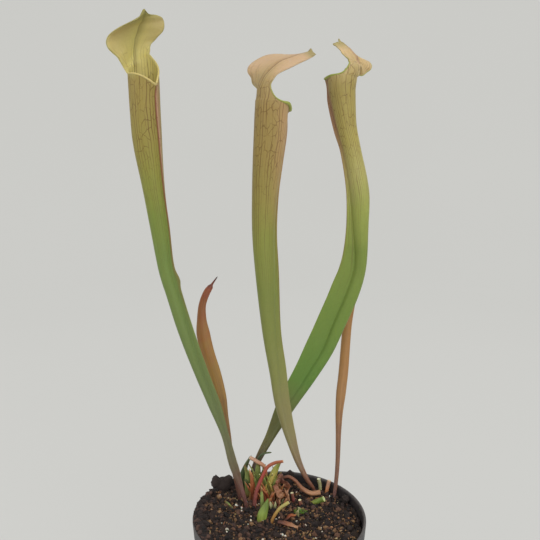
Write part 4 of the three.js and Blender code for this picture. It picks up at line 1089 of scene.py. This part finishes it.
def build_pitcher(name, settings):
    """One open pitcher: stalk, hollow tube with its wing, rolled mouth and hood, in one mesh."""
    data = PITCHERS[name]
    lip = TUBE_ROWS
    outer, inner, hollow = pitcher_faces(data, settings.sheet / MM, settings.ripple / MM * data["ripple"])
    front = unit(outer[lip, 0] - outer[lip, COLUMNS // 2])
    lip_point = outer[lip, 0].copy()
    outer = pull_spout(outer, lip_point, front, data["spout"])
    inner = pull_spout(inner, lip_point, front, data["spout"])
    v = length_along(outer)[:, None]
    u = np.linspace(0, 1, COLUMNS + 1)[None, :]
    bm = bmesh.new()
    uv = bm.loops.layers.uv.new("leaf")
    vein = bm.loops.layers.uv.new("vein")
    turned = vein_columns(data["mouth"][3], len(outer))
    out_rows = lay_grid(bm, outer, uv, u, v, vein, turned)
    in_rows = lay_grid(bm, inner[hollow:], uv, u + 4, v[hollow:], vein, turned[hollow:])
    seam = [row[k] for row in out_rows[:lip + 1] + in_rows[:lip + 1 - hollow] for k in (0, -1)]
    bmesh.ops.remove_doubles(bm, verts=seam, dist=1e-7)
    bm.normal_update()
    foot = [edge for edge in bm.edges if edge.is_boundary and edge.verts[0].co.z < 70 * MM]
    bmesh.ops.holes_fill(bm, edges=foot, sides=0)
    low = [corner for corner in in_rows[0] if corner.is_valid]
    bmesh.ops.holes_fill(bm, edges=open_edges(low), sides=0)
    rim = [edge for edge in bm.edges if edge.is_boundary]
    bmesh.ops.bridge_loops(bm, edges=rim)
    ends = [face for face in bm.faces if len(face.verts) > 4]
    bmesh.ops.poke(bm, faces=ends)
    bead, part = rolled_margin(outer, inner, settings.roll / MM, data["bead"])
    turn = np.linspace(2, 3, BEAD_COLUMNS + 1)[None, :]
    start = float(v[lip, 0])
    bead_rows = lay_grid(bm, bead, uv, turn, start + (1 - start) * part[:, None], vein, turn - 2)
    corners = [corner for row in bead_rows for corner in row]
    bmesh.ops.remove_doubles(bm, verts=corners, dist=1e-7)
    surface = waxy_pitcher_leaf("waxy_leaf_" + name.split("_")[1], data, settings, start)
    return finish_piece(bm, name + "_leaf", surface, (name,))


def shoot_rows(shape, sides):
    """Rows of places round a small leaf or stalk, from its foot to its far end."""
    points = np.array(shape["points"], dtype=float)
    steps = np.linspace(0, 1, shape["rows"] + 1)
    centres = line_through(points[:, :3], steps)
    halves = line_through(points[:, 3:], steps)[:, 0]
    along = directions(points[:, :3], steps)
    across = np.array(shape["across"], dtype=float)
    angle = np.linspace(0, 2 * math.pi, sides + 1)
    rows = []
    for centre, rise, half in zip(centres, along, halves):
        broad = unit(across - rise * across.dot(rise))
        flat = np.cross(rise, broad)
        deep = max(half * shape["thin"], min(half, LEAST_HALF))
        wide = np.cos(angle)
        thick = np.sin(angle) * (1 - shape["keel"] * np.abs(wide) ** 1.5)
        curl = shape["bow"] * half * (wide ** 2 - 0.5) * 0.5
        row = centre + np.outer(wide * half, broad) + np.outer(thick * deep + curl, flat)
        if shape["crumple"]:
            for k, place in enumerate(row[:-1]):
                push = np.array(noise.noise_vector(Vector(place) * CRUMPLE_SCALE))
                row[k] = place + push * shape["crumple"] * CRUMPLE_REACH
            row[-1] = row[0]
        rows.append(row)
    return np.array(rows), centres, along


def lay_shoot(bm, uv, shape, sides=20):
    """Adds one small leaf or stalk to a mesh, with its far end pointed, cut or hollow."""
    shape = {**PLAIN_SHOOT, **shape}
    rows, centres, rise = shoot_rows(shape, sides)
    v = np.linspace(0, 1, len(rows))[:, None]
    u = np.linspace(0, 1, sides + 1)[None, :]
    # The foot is nearly closed in its own plane, and a point narrows in two steps.
    foot = centres[0] + (rows[0] - centres[0]) * 0.02
    body = [foot[None], rows]
    spans = [np.zeros((1, 1)), v]
    tip, end = rows[-1], centres[-1]
    if shape["end"] == "point":
        body.append((end + (tip - end) * 0.5 + rise[-1] * 0.5)[None])
        body.append((end + (tip - end) * 0.02 + rise[-1] * 0.9)[None])
        spans += [np.ones((1, 1)), np.ones((1, 1))]
    laid = lay_grid(bm, np.concatenate(body), uv, u, np.concatenate(spans))
    corners = [corner for row in laid for corner in row]
    if shape["end"] != "point":
        # The cut face: a bevelled edge, then the pith, which is sunk in a hollow stalk.
        sink = -2.2 if shape["end"] == "hollow" else -0.12
        hole = 0.5 if shape["end"] == "hollow" else 0.6
        rings = ((0.9, 0.12), (hole + 0.05, 0.1), (hole * 0.95, sink), (0.01, sink))
        cut = [tip] + [end + (tip - end) * share + rise[-1] * lift for share, lift in rings]
        face = lay_grid(bm, np.array(cut), uv, u + 2, np.linspace(0, 1, 5)[:, None])
        corners += [corner for row in face for corner in row]
    bmesh.ops.remove_doubles(bm, verts=corners, dist=1.2e-5)


def build_shoot(name):
    """One small leaf, stub or dry piece that stands for its node."""
    shape = SHOOTS[name]
    bm = bmesh.new()
    uv = bm.loops.layers.uv.new("leaf")
    lay_shoot(bm, uv, shape)
    surface = stalk_surface(shape["look"])
    return finish_piece(bm, name + "_leaf", surface, (name,))


def stalk_surface(look):
    """The material of a look, made once."""
    name = "withering_" + look
    return bpy.data.materials.get(name) or withering_stalk(name, *LOOKS[look][1:])


def lay_fibre(bm, uv, points):
    """Adds a very thin stalk with four sides, drawn to a point at both ends."""
    points = np.array(points, dtype=float)
    steps = np.linspace(0, 1, FIBRE_ROWS + 1)
    centres = line_through(points[:, :3], steps)
    halves = line_through(points[:, 3:], steps)[:, 0]
    halves = halves * np.clip(np.sin(math.pi * steps) * 3, 0.001, 1)
    along = directions(points[:, :3], steps)
    angle = np.linspace(0, 2 * math.pi, 5)
    rows = []
    for centre, rise, half in zip(centres, along, halves):
        broad = unit(np.cross(rise, (0.0, 0.0, 1.0)) + 1e-6)
        flat = np.cross(rise, broad)
        rows.append(centre + np.outer(np.cos(angle) * half, broad) + np.outer(np.sin(angle) * half, flat))
    u, v = np.linspace(0, 1, len(angle))[None, :], np.linspace(0, 1, len(rows))[:, None]
    laid = lay_grid(bm, np.array(rows), uv, u, v)
    bmesh.ops.remove_doubles(bm, verts=[c for row in laid for c in row], dist=1e-6)


def polar_rows(profile, columns, height):
    """Rows of places round the axis for (radius, z) pairs; where z is None, height gives it."""
    rows = []
    for radius, z in profile:
        row = []
        for k in range(columns + 1):
            angle = 2 * math.pi * (k % columns) / columns
            x, y = radius * math.cos(angle), radius * math.sin(angle)
            row.append((x, y, height(x, y) if z is None else z))
        rows.append(row)
    return np.array(rows)


def fine_soil(x, y):
    """The soil's height with its small clods, which are 2 mm across and finer."""
    rough = noise.fractal(Vector((x, y, 0)) * 0.55, 0.8, 2.1, 5)
    return soil_height(x, y) + rough * CLOD_HEIGHT - CLOD_SINK


def stones(count, divisions, seed, shape):
    """Many broken grains in one mesh: shape gives each its place, its three sizes and its tone."""
    pick = random.Random(seed)
    seedling = bmesh.new()
    bmesh.ops.create_icosphere(seedling, subdivisions=divisions, radius=1)
    stone = bpy.data.meshes.new("stone")
    seedling.to_mesh(stone)
    many = len(stone.vertices)
    seedling.free()
    grains = [shape(k, pick) for k in range(count)]
    bm = bmesh.new()
    for _ in grains:
        bm.from_mesh(stone)
    bpy.data.meshes.remove(stone)
    tone_layer = bm.verts.layers.float.new("tone")
    bm.verts.ensure_lookup_table()
    for k, (place, sizes, tone) in enumerate(grains):
        turn = Vector((pick.uniform(-1, 1), pick.uniform(-1, 1), pick.uniform(-1, 1))).normalized()
        spin = Vector((0, 0, 1)).rotation_difference(turn).to_matrix()
        shift = Vector((pick.uniform(0, 90), pick.uniform(0, 90), 0))
        for corner in bm.verts[k * many:(k + 1) * many]:
            bump = 1 + 0.38 * noise.noise(corner.co * 1.4 + shift)
            local = spin @ Vector([corner.co[a] * sizes[a] * bump for a in range(3)])
            corner.co = (Vector(place) + local) * MM
            corner[tone_layer] = tone
    return bm


def in_pot(pick, margin):
    """A place on the soil, spread evenly, clear of the pot's wall."""
    reach = (SOIL_RADIUS - margin) * math.sqrt(pick.random())
    angle = pick.uniform(0, 2 * math.pi)
    return reach * math.cos(angle), reach * math.sin(angle)


class PitcherSettings(bpy.types.PropertyGroup):
    """Sizes and colours of the three open pitchers."""

    sheet: bpy.props.FloatProperty(
        name="Sheet", description="Thickness of the leaf", default=0.75 * MM,
        subtype="DISTANCE", unit="LENGTH")
    roll: bpy.props.FloatProperty(
        name="Lip", description="Radius of the rolled lip", default=0.45 * MM,
        subtype="DISTANCE", unit="LENGTH")
    ripple: bpy.props.FloatProperty(
        name="Ripple", description="Wave of the hood's margin", default=0.35 * MM,
        subtype="DISTANCE", unit="LENGTH")
    vein_depth: bpy.props.FloatProperty(
        name="Veins", description="How dark the veins are", default=0.7, subtype="FACTOR")
    vein: bpy.props.FloatVectorProperty(
        name="Vein colour", description="Red-brown veins", default=linear("5a3416")[:3], subtype="COLOR")
    seam_depth: bpy.props.FloatProperty(
        name="Seam", description="How dark the wing's edge is", default=0.85, subtype="FACTOR")
    seam: bpy.props.FloatVectorProperty(
        name="Seam colour", description="The wing's edge", default=linear("7a4232")[:3], subtype="COLOR")
    tip: bpy.props.FloatVectorProperty(
        name="Tip colour", description="The hood's tip", default=linear("7f8040")[:3], subtype="COLOR")


class PotSettings(bpy.types.PropertyGroup):
    """Colour and roundness of the pot."""

    plastic: bpy.props.FloatVectorProperty(
        name="Plastic", description="Colour of the pot", default=linear("2a2729")[:3], subtype="COLOR")
    segments: bpy.props.IntProperty(
        name="Segments", description="Faces round the pot", default=144)


class SoilSettings(bpy.types.PropertyGroup):
    """Colour of the soil and how many loose grains lie on it."""

    peat: bpy.props.FloatVectorProperty(
        name="Peat", description="Colour of the peat", default=linear("2b1d16")[:3], subtype="COLOR")
    crumbs: bpy.props.IntProperty(
        name="Crumbs", description="Crumbs of peat", default=3400)
    grit: bpy.props.IntProperty(
        name="Grit", description="Grains of sand and grit", default=340)
    rootlets: bpy.props.IntProperty(
        name="Rootlets", description="Fibres on the soil", default=130)


class StageSettings(bpy.types.PropertyGroup):
    """The backdrop and the light."""

    paper: bpy.props.FloatVectorProperty(
        name="Paper", description="Colour of the backdrop", default=linear("6c6c6a")[:3], subtype="COLOR")
    tent: bpy.props.FloatProperty(
        name="Tent", description="How strongly the paper glows", default=3.25)
    key: bpy.props.FloatProperty(
        name="Key light", description="Power of the main soft light", default=9.0, unit="POWER")
    fill: bpy.props.FloatProperty(
        name="Fill light", description="Power of the light from the left", default=4.0, unit="POWER")
    front: bpy.props.FloatProperty(
        name="Front light", description="Power of the low light in front", default=4.5, unit="POWER")
    sky: bpy.props.FloatProperty(
        name="Sky", description="Strength of the even light from above", default=0.5)


class PITCHER_OT_pot(bpy.types.Operator):
    """Builds the nursery pot with its rim band, rounded lip and drain holes"""

    bl_idname = "pitcher_plant.pot"
    bl_label = "Pot"

    def execute(self, context):
        settings = context.scene.pitcher_plant_pot
        foot = POT_HEIGHT - RIM_BAND
        neck = RIM_RADIUS - RIM_STEP - RIM_TAPER
        wall, rim, top = POT_WALL, RIM_RADIUS, POT_HEIGHT
        # From the middle of the floor, out and up to the rounded rim, and down the inside.
        profile = (
            (0, 0), (BASE_RADIUS - 1, 0), (BASE_RADIUS - 0.3, 0.3), (BASE_RADIUS, 1), (neck, foot),
            (neck + RIM_STEP * 0.6, foot + 0.15), (neck + RIM_STEP, foot + 0.6), (rim, top - 1),
            (rim, top - 0.5), (rim - 0.2, top - 0.12), (rim - 0.55, top), (rim - 0.95, top - 0.08),
            (rim - wall, top - 0.4), (rim - wall - 0.3, top - 1), (neck + RIM_STEP - wall, foot + 1.6),
            (neck - wall, foot + 0.8), (BASE_RADIUS - wall, wall + 0.6), (BASE_RADIUS - wall - 0.8, wall),
            (0, wall),
        )
        bm = spun(profile, settings.segments, 1e-6)
        pot = finish_piece(bm, "nursery_pot", moulded_polypropylene(settings), ("pot",))
        drills = bmesh.new()
        for k in range(DRAIN_HOLES):
            made = bmesh.ops.create_cone(drills, cap_ends=True, segments=28, depth=5 * POT_WALL * MM,
                                         radius1=DRAIN_RADIUS * MM, radius2=DRAIN_RADIUS * MM)
            angle = 2 * math.pi * (k + 0.5) / DRAIN_HOLES
            across = Vector((math.cos(angle), math.sin(angle), 0)) * DRAIN_CIRCLE * MM
            bmesh.ops.translate(drills, verts=made["verts"], vec=across)
        mesh = bpy.data.meshes.new("drills")
        drills.to_mesh(mesh)
        drills.free()
        drill = bpy.data.objects.new("drills", mesh)
        context.scene.collection.objects.link(drill)
        cut = pot.modifiers.new("drain_holes", "BOOLEAN")
        cut.operation = "DIFFERENCE"
        cut.solver = "EXACT"
        cut.object = drill
        bake_modifiers(pot)
        bpy.data.objects.remove(drill)
        pot.data.set_sharp_from_angle(angle=math.radians(40))
        return {"FINISHED"}


class PITCHER_OT_soil(bpy.types.Operator):
    """Builds the peat, its clods and crumbs, sand, perlite, bark, rootlets and moss"""

    bl_idname = "pitcher_plant.soil"
    bl_label = "Soil"

    def execute(self, context):
        settings = context.scene.pitcher_plant_soil
        self.peat(settings)
        self.clods()
        self.crumbs(settings)
        self.grit(settings)
        self.perlite()
        self.bark()
        self.rootlets(settings)
        self.moss()
        return {"FINISHED"}

    def peat(self, settings):
        """The body of peat that fills the pot."""
        band = POT_HEIGHT - RIM_BAND
        low = BASE_RADIUS - POT_WALL - SOIL_GAP - SOIL_SLACK
        neck = RIM_RADIUS - RIM_STEP - RIM_TAPER - POT_WALL - SOIL_GAP - SOIL_SLACK
        profile = [
            (0, SOIL_FLOOR), (low - 1, SOIL_FLOOR), (low, SOIL_FLOOR + 1), (neck, band),
            (SOIL_RADIUS, band + 1.8),
        ]
        profile += [(SOIL_RADIUS * (1 - k / SOIL_RINGS), None) for k in range(SOIL_RINGS + 1)]
        bm = bmesh.new()
        uv = bm.loops.layers.uv.new("leaf")
        laid = lay_grid(bm, polar_rows(profile, SOIL_COLUMNS, fine_soil), uv, 0.0, 0.0)
        bmesh.ops.remove_doubles(bm, verts=[c for row in laid for c in row], dist=1e-6)
        finish_piece(bm, "peat_body", damp_peat(settings), ("soil",))

    def clods(self):
        """The clods that stand over the rim, and lumps all over the soil."""
        def shape(k, pick):
            if k < len(CLODS):
                x, y, z, size = CLODS[k]
                return (x, y, z), (size, size, size * 0.85), pick.uniform(0.1, 0.3)
            x, y = in_pot(pick, 3)
            size = pick.uniform(1.3, 2.3)
            sizes = (size, size * 0.9, size * 0.7)
            return (x, y, fine_soil(x, y) + 0.1 * size), sizes, pick.uniform(0.1, 0.45)
        bm = stones(COUNTS["clods"], 2, SEEDS["clods"], shape)
        bmesh.ops.subdivide_edges(bm, edges=bm.edges[:], cuts=1, use_grid_fill=True, smooth=0.6)
        for corner in bm.verts:
            place = corner.co / MM
            push = noise.noise_vector(place * 0.9) * 0.28 + noise.noise_vector(place * 2.4) * 0.14
            corner.co += push * MM
        # A crumbly clod is matt and nearly black, and paler where its fibres are dry.
        stops = ((0.0, "1a1211"), (0.3, "2f2420"), (0.6, "44332a"), (1.0, "6b5238"))
        finish_piece(bm, "peat_clods", toned_grains("crumbly_peat_clod", stops, 0.9))

    def crumbs(self, settings):
        """Thousands of small crumbs, in two pieces."""
        # Peat crumbs are dull and dark red-brown, and a few of them dry and pale.
        stops = ((0.0, "120c0b"), (0.35, "2f211d"), (0.6, "4c362e"), (0.8, "6c4c38"), (1.0, "8e6e4a"))
        surface = toned_grains("peat_crumb", stops, 0.85)
        for kind, share, low, high in (("crumbs", 0.4, 0.6, 1.75), ("fines", 0.6, 0.3, 0.75)):
            def shape(k, pick, low=low, high=high):
                x, y = in_pot(pick, 1.2)
                size = low + (high - low) * pick.random() ** 1.6
                squash = pick.uniform(0.55, 0.95)
                z = fine_soil(x, y) + size * 0.25
                return (x, y, z), (size, size * pick.uniform(0.6, 1), size * squash), pick.random() ** 1.5
            bm = stones(int(settings.crumbs * share), 1, SEEDS[kind], shape)
            finish_piece(bm, "peat_" + kind, surface, smooth=False)
        self.spilled(surface)

    def spilled(self, surface):
        """Peat heaped on the rim at the left and the front left, where it hides the pot's edge."""
        def shape(k, pick):
            angle = math.radians(pick.triangular(130, 262, 195))
            size = 0.5 + 1.3 * pick.random() ** 2
            reach = pick.uniform(RIM_RADIUS - 4.5, RIM_RADIUS - 0.9 * size)
            z = POT_HEIGHT + size * 0.3 + 0.9 * pick.random() ** 3
            sizes = (size, size * pick.uniform(0.7, 1), size * 0.75)
            return (reach * math.cos(angle), reach * math.sin(angle), z), sizes, 0.7 * pick.random() ** 1.5
        bm = stones(COUNTS["spilled"], 1, SEEDS["spilled"], shape)
        finish_piece(bm, "spilled_peat", surface, smooth=False)

    def grit(self, settings):
        """Tan and yellow grains, most of them at the right and the front."""
        def shape(k, pick):
            x, y = in_pot(pick, 1.5)
            if pick.random() < 0.62:
                x, y = abs(x), min(y, pick.uniform(-30, 24))
            size = pick.uniform(0.28, 0.8)
            return (x, y, fine_soil(x, y) + 0.45), (size, size * 0.85, size * 0.7), pick.random()
        # Quartz grit is tan, yellow and rusty, with a slight shine and depth.
        stops = ((0.0, "5c422c"), (0.35, "84643a"), (0.6, "a08a58"), (0.8, "925a34"), (1.0, "bcab80"))
        surface = toned_grains("quartz_grit", stops, 0.55, 0.1)
        bm = stones(settings.grit, 1, SEEDS["grit"], shape)
        finish_piece(bm, "sand_grit", surface, smooth=False)

    def perlite(self):
        """White grains of perlite, three clusters of them where the photograph shows them."""
        clusters = ((1.5, -12.5), (2.8, -13.0), (3.6, -12.2), (-26.5, -14.0), (-26.0, -15.2), (13.5, -3.5))

        def shape(k, pick):
            if k < len(clusters):
                x, y = clusters[k]
                size = pick.uniform(0.7, 1.0)
            else:
                x, y = in_pot(pick, 2)
                size = pick.uniform(0.3, 0.75)
            return (x, y, fine_soil(x, y) + 0.6), (size, size, size * 0.8), pick.uniform(0.3, 1)
        # Expanded perlite is off-white, porous and matt, and light enters it a little.
        stops = ((0.0, "a89a86"), (0.5, "cfc6b4"), (1.0, "e4ded0"))
        bm = stones(COUNTS["perlite"], 2, SEEDS["perlite"], shape)
        finish_piece(bm, "perlite", toned_grains("expanded_perlite", stops, 0.8, 0.2))

    def bark(self):
        """Flat chips of bark and dead leaf."""
        def shape(k, pick):
            x, y = in_pot(pick, 3)
            size = pick.uniform(0.8, 1.9)
            return (x, y, fine_soil(x, y) + 0.5), (size, size * 0.45, size * 0.22), pick.random()
        # Bark is dull red-brown outside and paler where it broke.
        stops = ((0.0, "3a2418"), (0.4, "6b4630"), (0.7, "8a5c3c"), (1.0, "a8835a"))
        bm = stones(COUNTS["bark"], 1, SEEDS["bark"], shape)
        finish_piece(bm, "bark_chips", toned_grains("bark_chip", stops, 0.8), smooth=False)

    def rootlets(self, settings):
        """Thin dead roots that lie over the crumbs in short curls."""
        pick = random.Random(SEEDS["rootlets"])
        bm = bmesh.new()
        uv = bm.loops.layers.uv.new("leaf")
        for _ in range(settings.rootlets):
            x, y = in_pot(pick, 6)
            heading = pick.uniform(0, 2 * math.pi)
            bend = pick.uniform(-0.5, 0.5)
            stride = pick.uniform(0.7, 1.5)
            points = []
            for k in range(5):
                points.append((x, y, fine_soil(x, y) + 0.55 + 0.5 * pick.random(), pick.uniform(0.1, 0.2)))
                x += stride * math.cos(heading)
                y += stride * math.sin(heading)
                heading += bend
            lay_fibre(bm, uv, points)
        # A dead root is dull brown and paler toward its far end.
        surface = withering_stalk("dead_root_fibre", "4a3020", "6e4c32", "9a7650", "9a7650")
        finish_piece(bm, "rootlets", surface)

    def moss(self):
        """A tuft of moss at the front right of the crown."""
        pick = random.Random(SEEDS["moss"])
        bm = bmesh.new()
        tone_layer = bm.verts.layers.float.new("tone")
        for _ in range(COUNTS["moss"]):
            reach = 2.6 * math.sqrt(pick.random())
            angle = pick.uniform(0, 2 * math.pi)
            x, y = 11.4 + reach * math.cos(angle) * 1.3, 9 + reach * math.sin(angle)
            base = Vector((x, y, fine_soil(x, y) + 0.4))
            made = bmesh.ops.create_cone(
                bm, cap_ends=True, segments=4, radius1=0.28, radius2=0.03, depth=1.7)
            lean = Vector((pick.uniform(-0.7, 0.7), pick.uniform(-0.7, 0.7), 1)).normalized()
            spin = Vector((0, 0, 1)).rotation_difference(lean).to_matrix()
            for corner in made["verts"]:
                corner[tone_layer] = smoothstep(corner.co.z, -0.8, 0.8)
                local = Vector((corner.co.x, corner.co.y * 0.4, corner.co.z + 0.6))
                corner.co = (base + spin @ local) * MM
        finish_piece(bm, "moss_tuft", moss_leaf())


class PITCHER_OT_rhizome(bpy.types.Operator):
    """Builds the creeping rootstock, ringed and flaking, with its side branch"""

    bl_idname = "pitcher_plant.rhizome"
    bl_label = "Rhizome"

    def execute(self, context):
        bm = bmesh.new()
        uv = bm.loops.layers.uv.new("leaf")
        for points, count in ((RHIZOME, 150), (RHIZOME_BRANCH, 50)):
            line = np.array(points, dtype=float)
            steps = np.linspace(0, 1, count + 1)
            centres = line_through(line[:, :3], steps)
            sizes = line_through(line[:, 3:], steps)[:, 0]
            along = directions(line[:, :3], steps)
            run = np.concatenate([[0], np.cumsum(np.linalg.norm(np.diff(centres, axis=0), axis=1))])
            rows = []
            # The ends round off over 2.5 mm, and each ring swells by a twelfth.
            for centre, rise, size, far in zip(centres, along, sizes, run):
                side = unit(np.cross((0.0, 0.0, 1.0), rise))
                up = np.cross(rise, side)
                end = 0.55 + 0.45 * smoothstep(min(far, run[-1] - far), 0, 2.5)
                swell = 1 + 0.08 * abs(math.sin(math.pi * far / RHIZOME_RING))
                row = []
                for k in range(RHIZOME_SIDES + 1):
                    angle = 2 * math.pi * (k % RHIZOME_SIDES) / RHIZOME_SIDES
                    way = side * math.cos(angle) + up * math.sin(angle)
                    bark = 1 + 0.06 * noise.noise(Vector(centre + way * size) * 0.9)
                    row.append(centre + way * size * end * swell * bark)
                rows.append(row)
            rows = np.array(rows)
            first, last = (centres[k] + (rows[k] - centres[k]) * 0.01 for k in (0, -1))
            laid = lay_grid(bm, np.concatenate([first[None], rows, last[None]]), uv, 0.0, 0.0)
            bmesh.ops.remove_doubles(bm, verts=[c for row in laid for c in row], dist=1e-4)
        finish_piece(bm, "rootstock", rhizome_bark(), ("rhizome",))
        return {"FINISHED"}


class PITCHER_OT_pitchers(bpy.types.Operator):
    """Builds the three open pitchers with their wings, rolled lips and hoods"""

    bl_idname = "pitcher_plant.pitchers"
    bl_label = "Open pitchers"

    def execute(self, context):
        for name in PITCHERS:
            build_pitcher(name, context.scene.pitcher_plant_pitchers)
        return {"FINISHED"}


class PITCHER_OT_shoots(bpy.types.Operator):
    """Builds the young and the tan pitcher, the stubs, the leaf bases and the dry pieces"""

    bl_idname = "pitcher_plant.shoots"
    bl_label = "Small leaves and stubs"

    def execute(self, context):
        for name in SHOOTS:
            build_shoot(name)
        return {"FINISHED"}


class PITCHER_OT_crown(bpy.types.Operator):
    """Builds the torn sheaths and scraps that crowd the crown, one piece for each look"""

    bl_idname = "pitcher_plant.crown"
    bl_label = "Crown"

    def execute(self, context):
        pick = random.Random(SEEDS["crown"])
        for look, count, middle, spread, heights in CROWN:
            bm = bmesh.new()
            uv = bm.loops.layers.uv.new("leaf")
            for _ in range(count):
                reach = math.sqrt(pick.random())
                angle = pick.uniform(0, 2 * math.pi)
                x = middle[0] + spread[0] * reach * math.cos(angle)
                y = middle[1] + spread[1] * reach * math.sin(angle)
                lean = (pick.uniform(-0.35, 0.35), pick.uniform(-0.25, 0.2))
                tall = pick.uniform(*heights)
                half = pick.uniform(0.55, 1.25)
                foot = fine_soil(x, y) - SCRAP_ROOT
                points = [(x, y, foot, half * 0.8)]
                for up, out, wide in SCRAP_POINTS:
                    aside = (x + lean[0] * tall * out, y + lean[1] * tall * out)
                    points.append((*aside, foot + SCRAP_ROOT + tall * up, half * wide))
                turn = pick.uniform(0, math.pi)
                lay_shoot(bm, uv, {
                    "thin": 0.3, "across": (math.cos(turn), math.sin(turn), 0.2), "rows": 14, "bow": 0.5,
                    "end": pick.choice(("point", "point", "cut")), "crumple": 0.3, "points": points,
                }, sides=10)
            finish_piece(bm, "crown_" + look, stalk_surface(look))
        return {"FINISHED"}


class PITCHER_OT_dead_leaf(bpy.types.Operator):
    """Builds the dead leaf: its pink petiole and the crumpled folds of its blade"""

    bl_idname = "pitcher_plant.dead_leaf"
    bl_label = "Dead leaf"

    def execute(self, context):
        bm = bmesh.new()
        uv = bm.loops.layers.uv.new("leaf")
        for strip in DEAD_LEAF:
            lay_shoot(bm, uv, strip)
        finish_piece(bm, "dead_leaf_folds", stalk_surface("dry_leaf"), ("dead_leaf",))
        return {"FINISHED"}


class PITCHER_OT_stage(bpy.types.Operator):
    """Builds the backdrop, the soft lights and the camera"""

    bl_idname = "pitcher_plant.stage"
    bl_label = "Stage"

    def execute(self, context):
        settings = context.scene.pitcher_plant_stage
        self.backdrop(settings)
        for name, place, size, power in LIGHTS:
            self.light(name, place, size, getattr(settings, power))
        sky = bpy.data.worlds.new("soft_sky")
        sky.use_nodes = True
        sky.node_tree.nodes["Background"].inputs["Color"].default_value = (1, 1, 1, 1)
        sky.node_tree.nodes["Background"].inputs["Strength"].default_value = settings.sky
        context.scene.world = sky
        context.scene.view_settings.view_transform = "Standard"
        data = bpy.data.cameras.new("photo_camera")
        data.lens = CAMERA_LENS
        data.sensor_width = SENSOR_WIDTH
        data.clip_start = 0.01
        camera = bpy.data.objects.new("photo_camera", data)
        camera.location = [part * MM for part in CAMERA_PLACE]
        camera.rotation_euler = (math.radians(90 - CAMERA_PITCH), 0, 0)
        context.scene.collection.objects.link(camera)
        context.scene.camera = camera
        return {"FINISHED"}

    def backdrop(self, settings):
        """A floor that sweeps up into a wall all round."""
        profile = [(0.0, 0.0), (BACKDROP_FLAT, 0.0)]
        for k in range(1, BACKDROP_ROWS + 1):
            angle = math.pi / 2 * k / BACKDROP_ROWS
            out, up = math.sin(angle), 1 - math.cos(angle)
            profile.append((BACKDROP_FLAT + BACKDROP_CURVE * out, BACKDROP_CURVE * up))
        profile.append((BACKDROP_FLAT + BACKDROP_CURVE, BACKDROP_TOP))
        bm = spun(profile, 96, 1e-5)
        mesh = bpy.data.meshes.new("backdrop")
        bm.to_mesh(mesh)
        bm.free()
        mesh.shade_smooth()
        floor = bpy.data.objects.new("backdrop", mesh)
        bpy.context.scene.collection.objects.link(floor)
        floor.data.materials.append(matt_paper(settings))

    def light(self, name, place, size, power):
        """A square soft light that looks at the middle of the plant."""
        data = bpy.data.lights.new(name, "AREA")
        data.shape = "SQUARE"
        data.size = size
        data.energy = power
        lamp = bpy.data.objects.new(name, data)
        lamp.location = place
        toward = Vector((0, 0, PLANT_MIDDLE * MM)) - Vector(place)
        lamp.rotation_euler = toward.to_track_quat("-Z", "Y").to_euler()
        bpy.context.scene.collection.objects.link(lamp)


class PITCHER_PT_panel(bpy.types.Panel):
    """Lists the pieces in the sidebar"""

    bl_idname = "PITCHER_PT_panel"
    bl_label = "Pitcher Plant"
    bl_space_type = "VIEW_3D"
    bl_region_type = "UI"
    bl_category = "Pitcher Plant"

    def draw(self, context):
        for operator in OPERATORS:
            self.layout.operator(operator.bl_idname)
        for field in GROUPS:
            box = self.layout.box()
            settings = getattr(context.scene, field)
            for key in settings.__annotations__:
                box.prop(settings, key)


OPERATORS = (
    PITCHER_OT_stage, PITCHER_OT_pot, PITCHER_OT_soil, PITCHER_OT_rhizome, PITCHER_OT_pitchers,
    PITCHER_OT_shoots, PITCHER_OT_crown, PITCHER_OT_dead_leaf,
)
GROUPS = {
    "pitcher_plant_pot": PotSettings,
    "pitcher_plant_soil": SoilSettings,
    "pitcher_plant_pitchers": PitcherSettings,
    "pitcher_plant_stage": StageSettings,
}


def register():
    """Registers the settings, the operators and the panel."""
    for kind in (*GROUPS.values(), *OPERATORS, PITCHER_PT_panel):
        bpy.utils.register_class(kind)
    for field, kind in GROUPS.items():
        setattr(bpy.types.Scene, field, bpy.props.PointerProperty(type=kind))


def unregister():
    """Takes them away again, in the opposite order."""
    for field in GROUPS:
        delattr(bpy.types.Scene, field)
    for kind in (PITCHER_PT_panel, *reversed(OPERATORS), *reversed(GROUPS.values())):
        bpy.utils.unregister_class(kind)


def main():
    """Registers the classes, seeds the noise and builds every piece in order."""
    register()
    noise.seed_set(NOISE_SEED)
    bpy.ops.pitcher_plant.stage()
    bpy.ops.pitcher_plant.pot()
    bpy.ops.pitcher_plant.soil()
    bpy.ops.pitcher_plant.rhizome()
    bpy.ops.pitcher_plant.pitchers()
    bpy.ops.pitcher_plant.shoots()
    bpy.ops.pitcher_plant.crown()
    bpy.ops.pitcher_plant.dead_leaf()


if __name__ == "__main__":
    main()
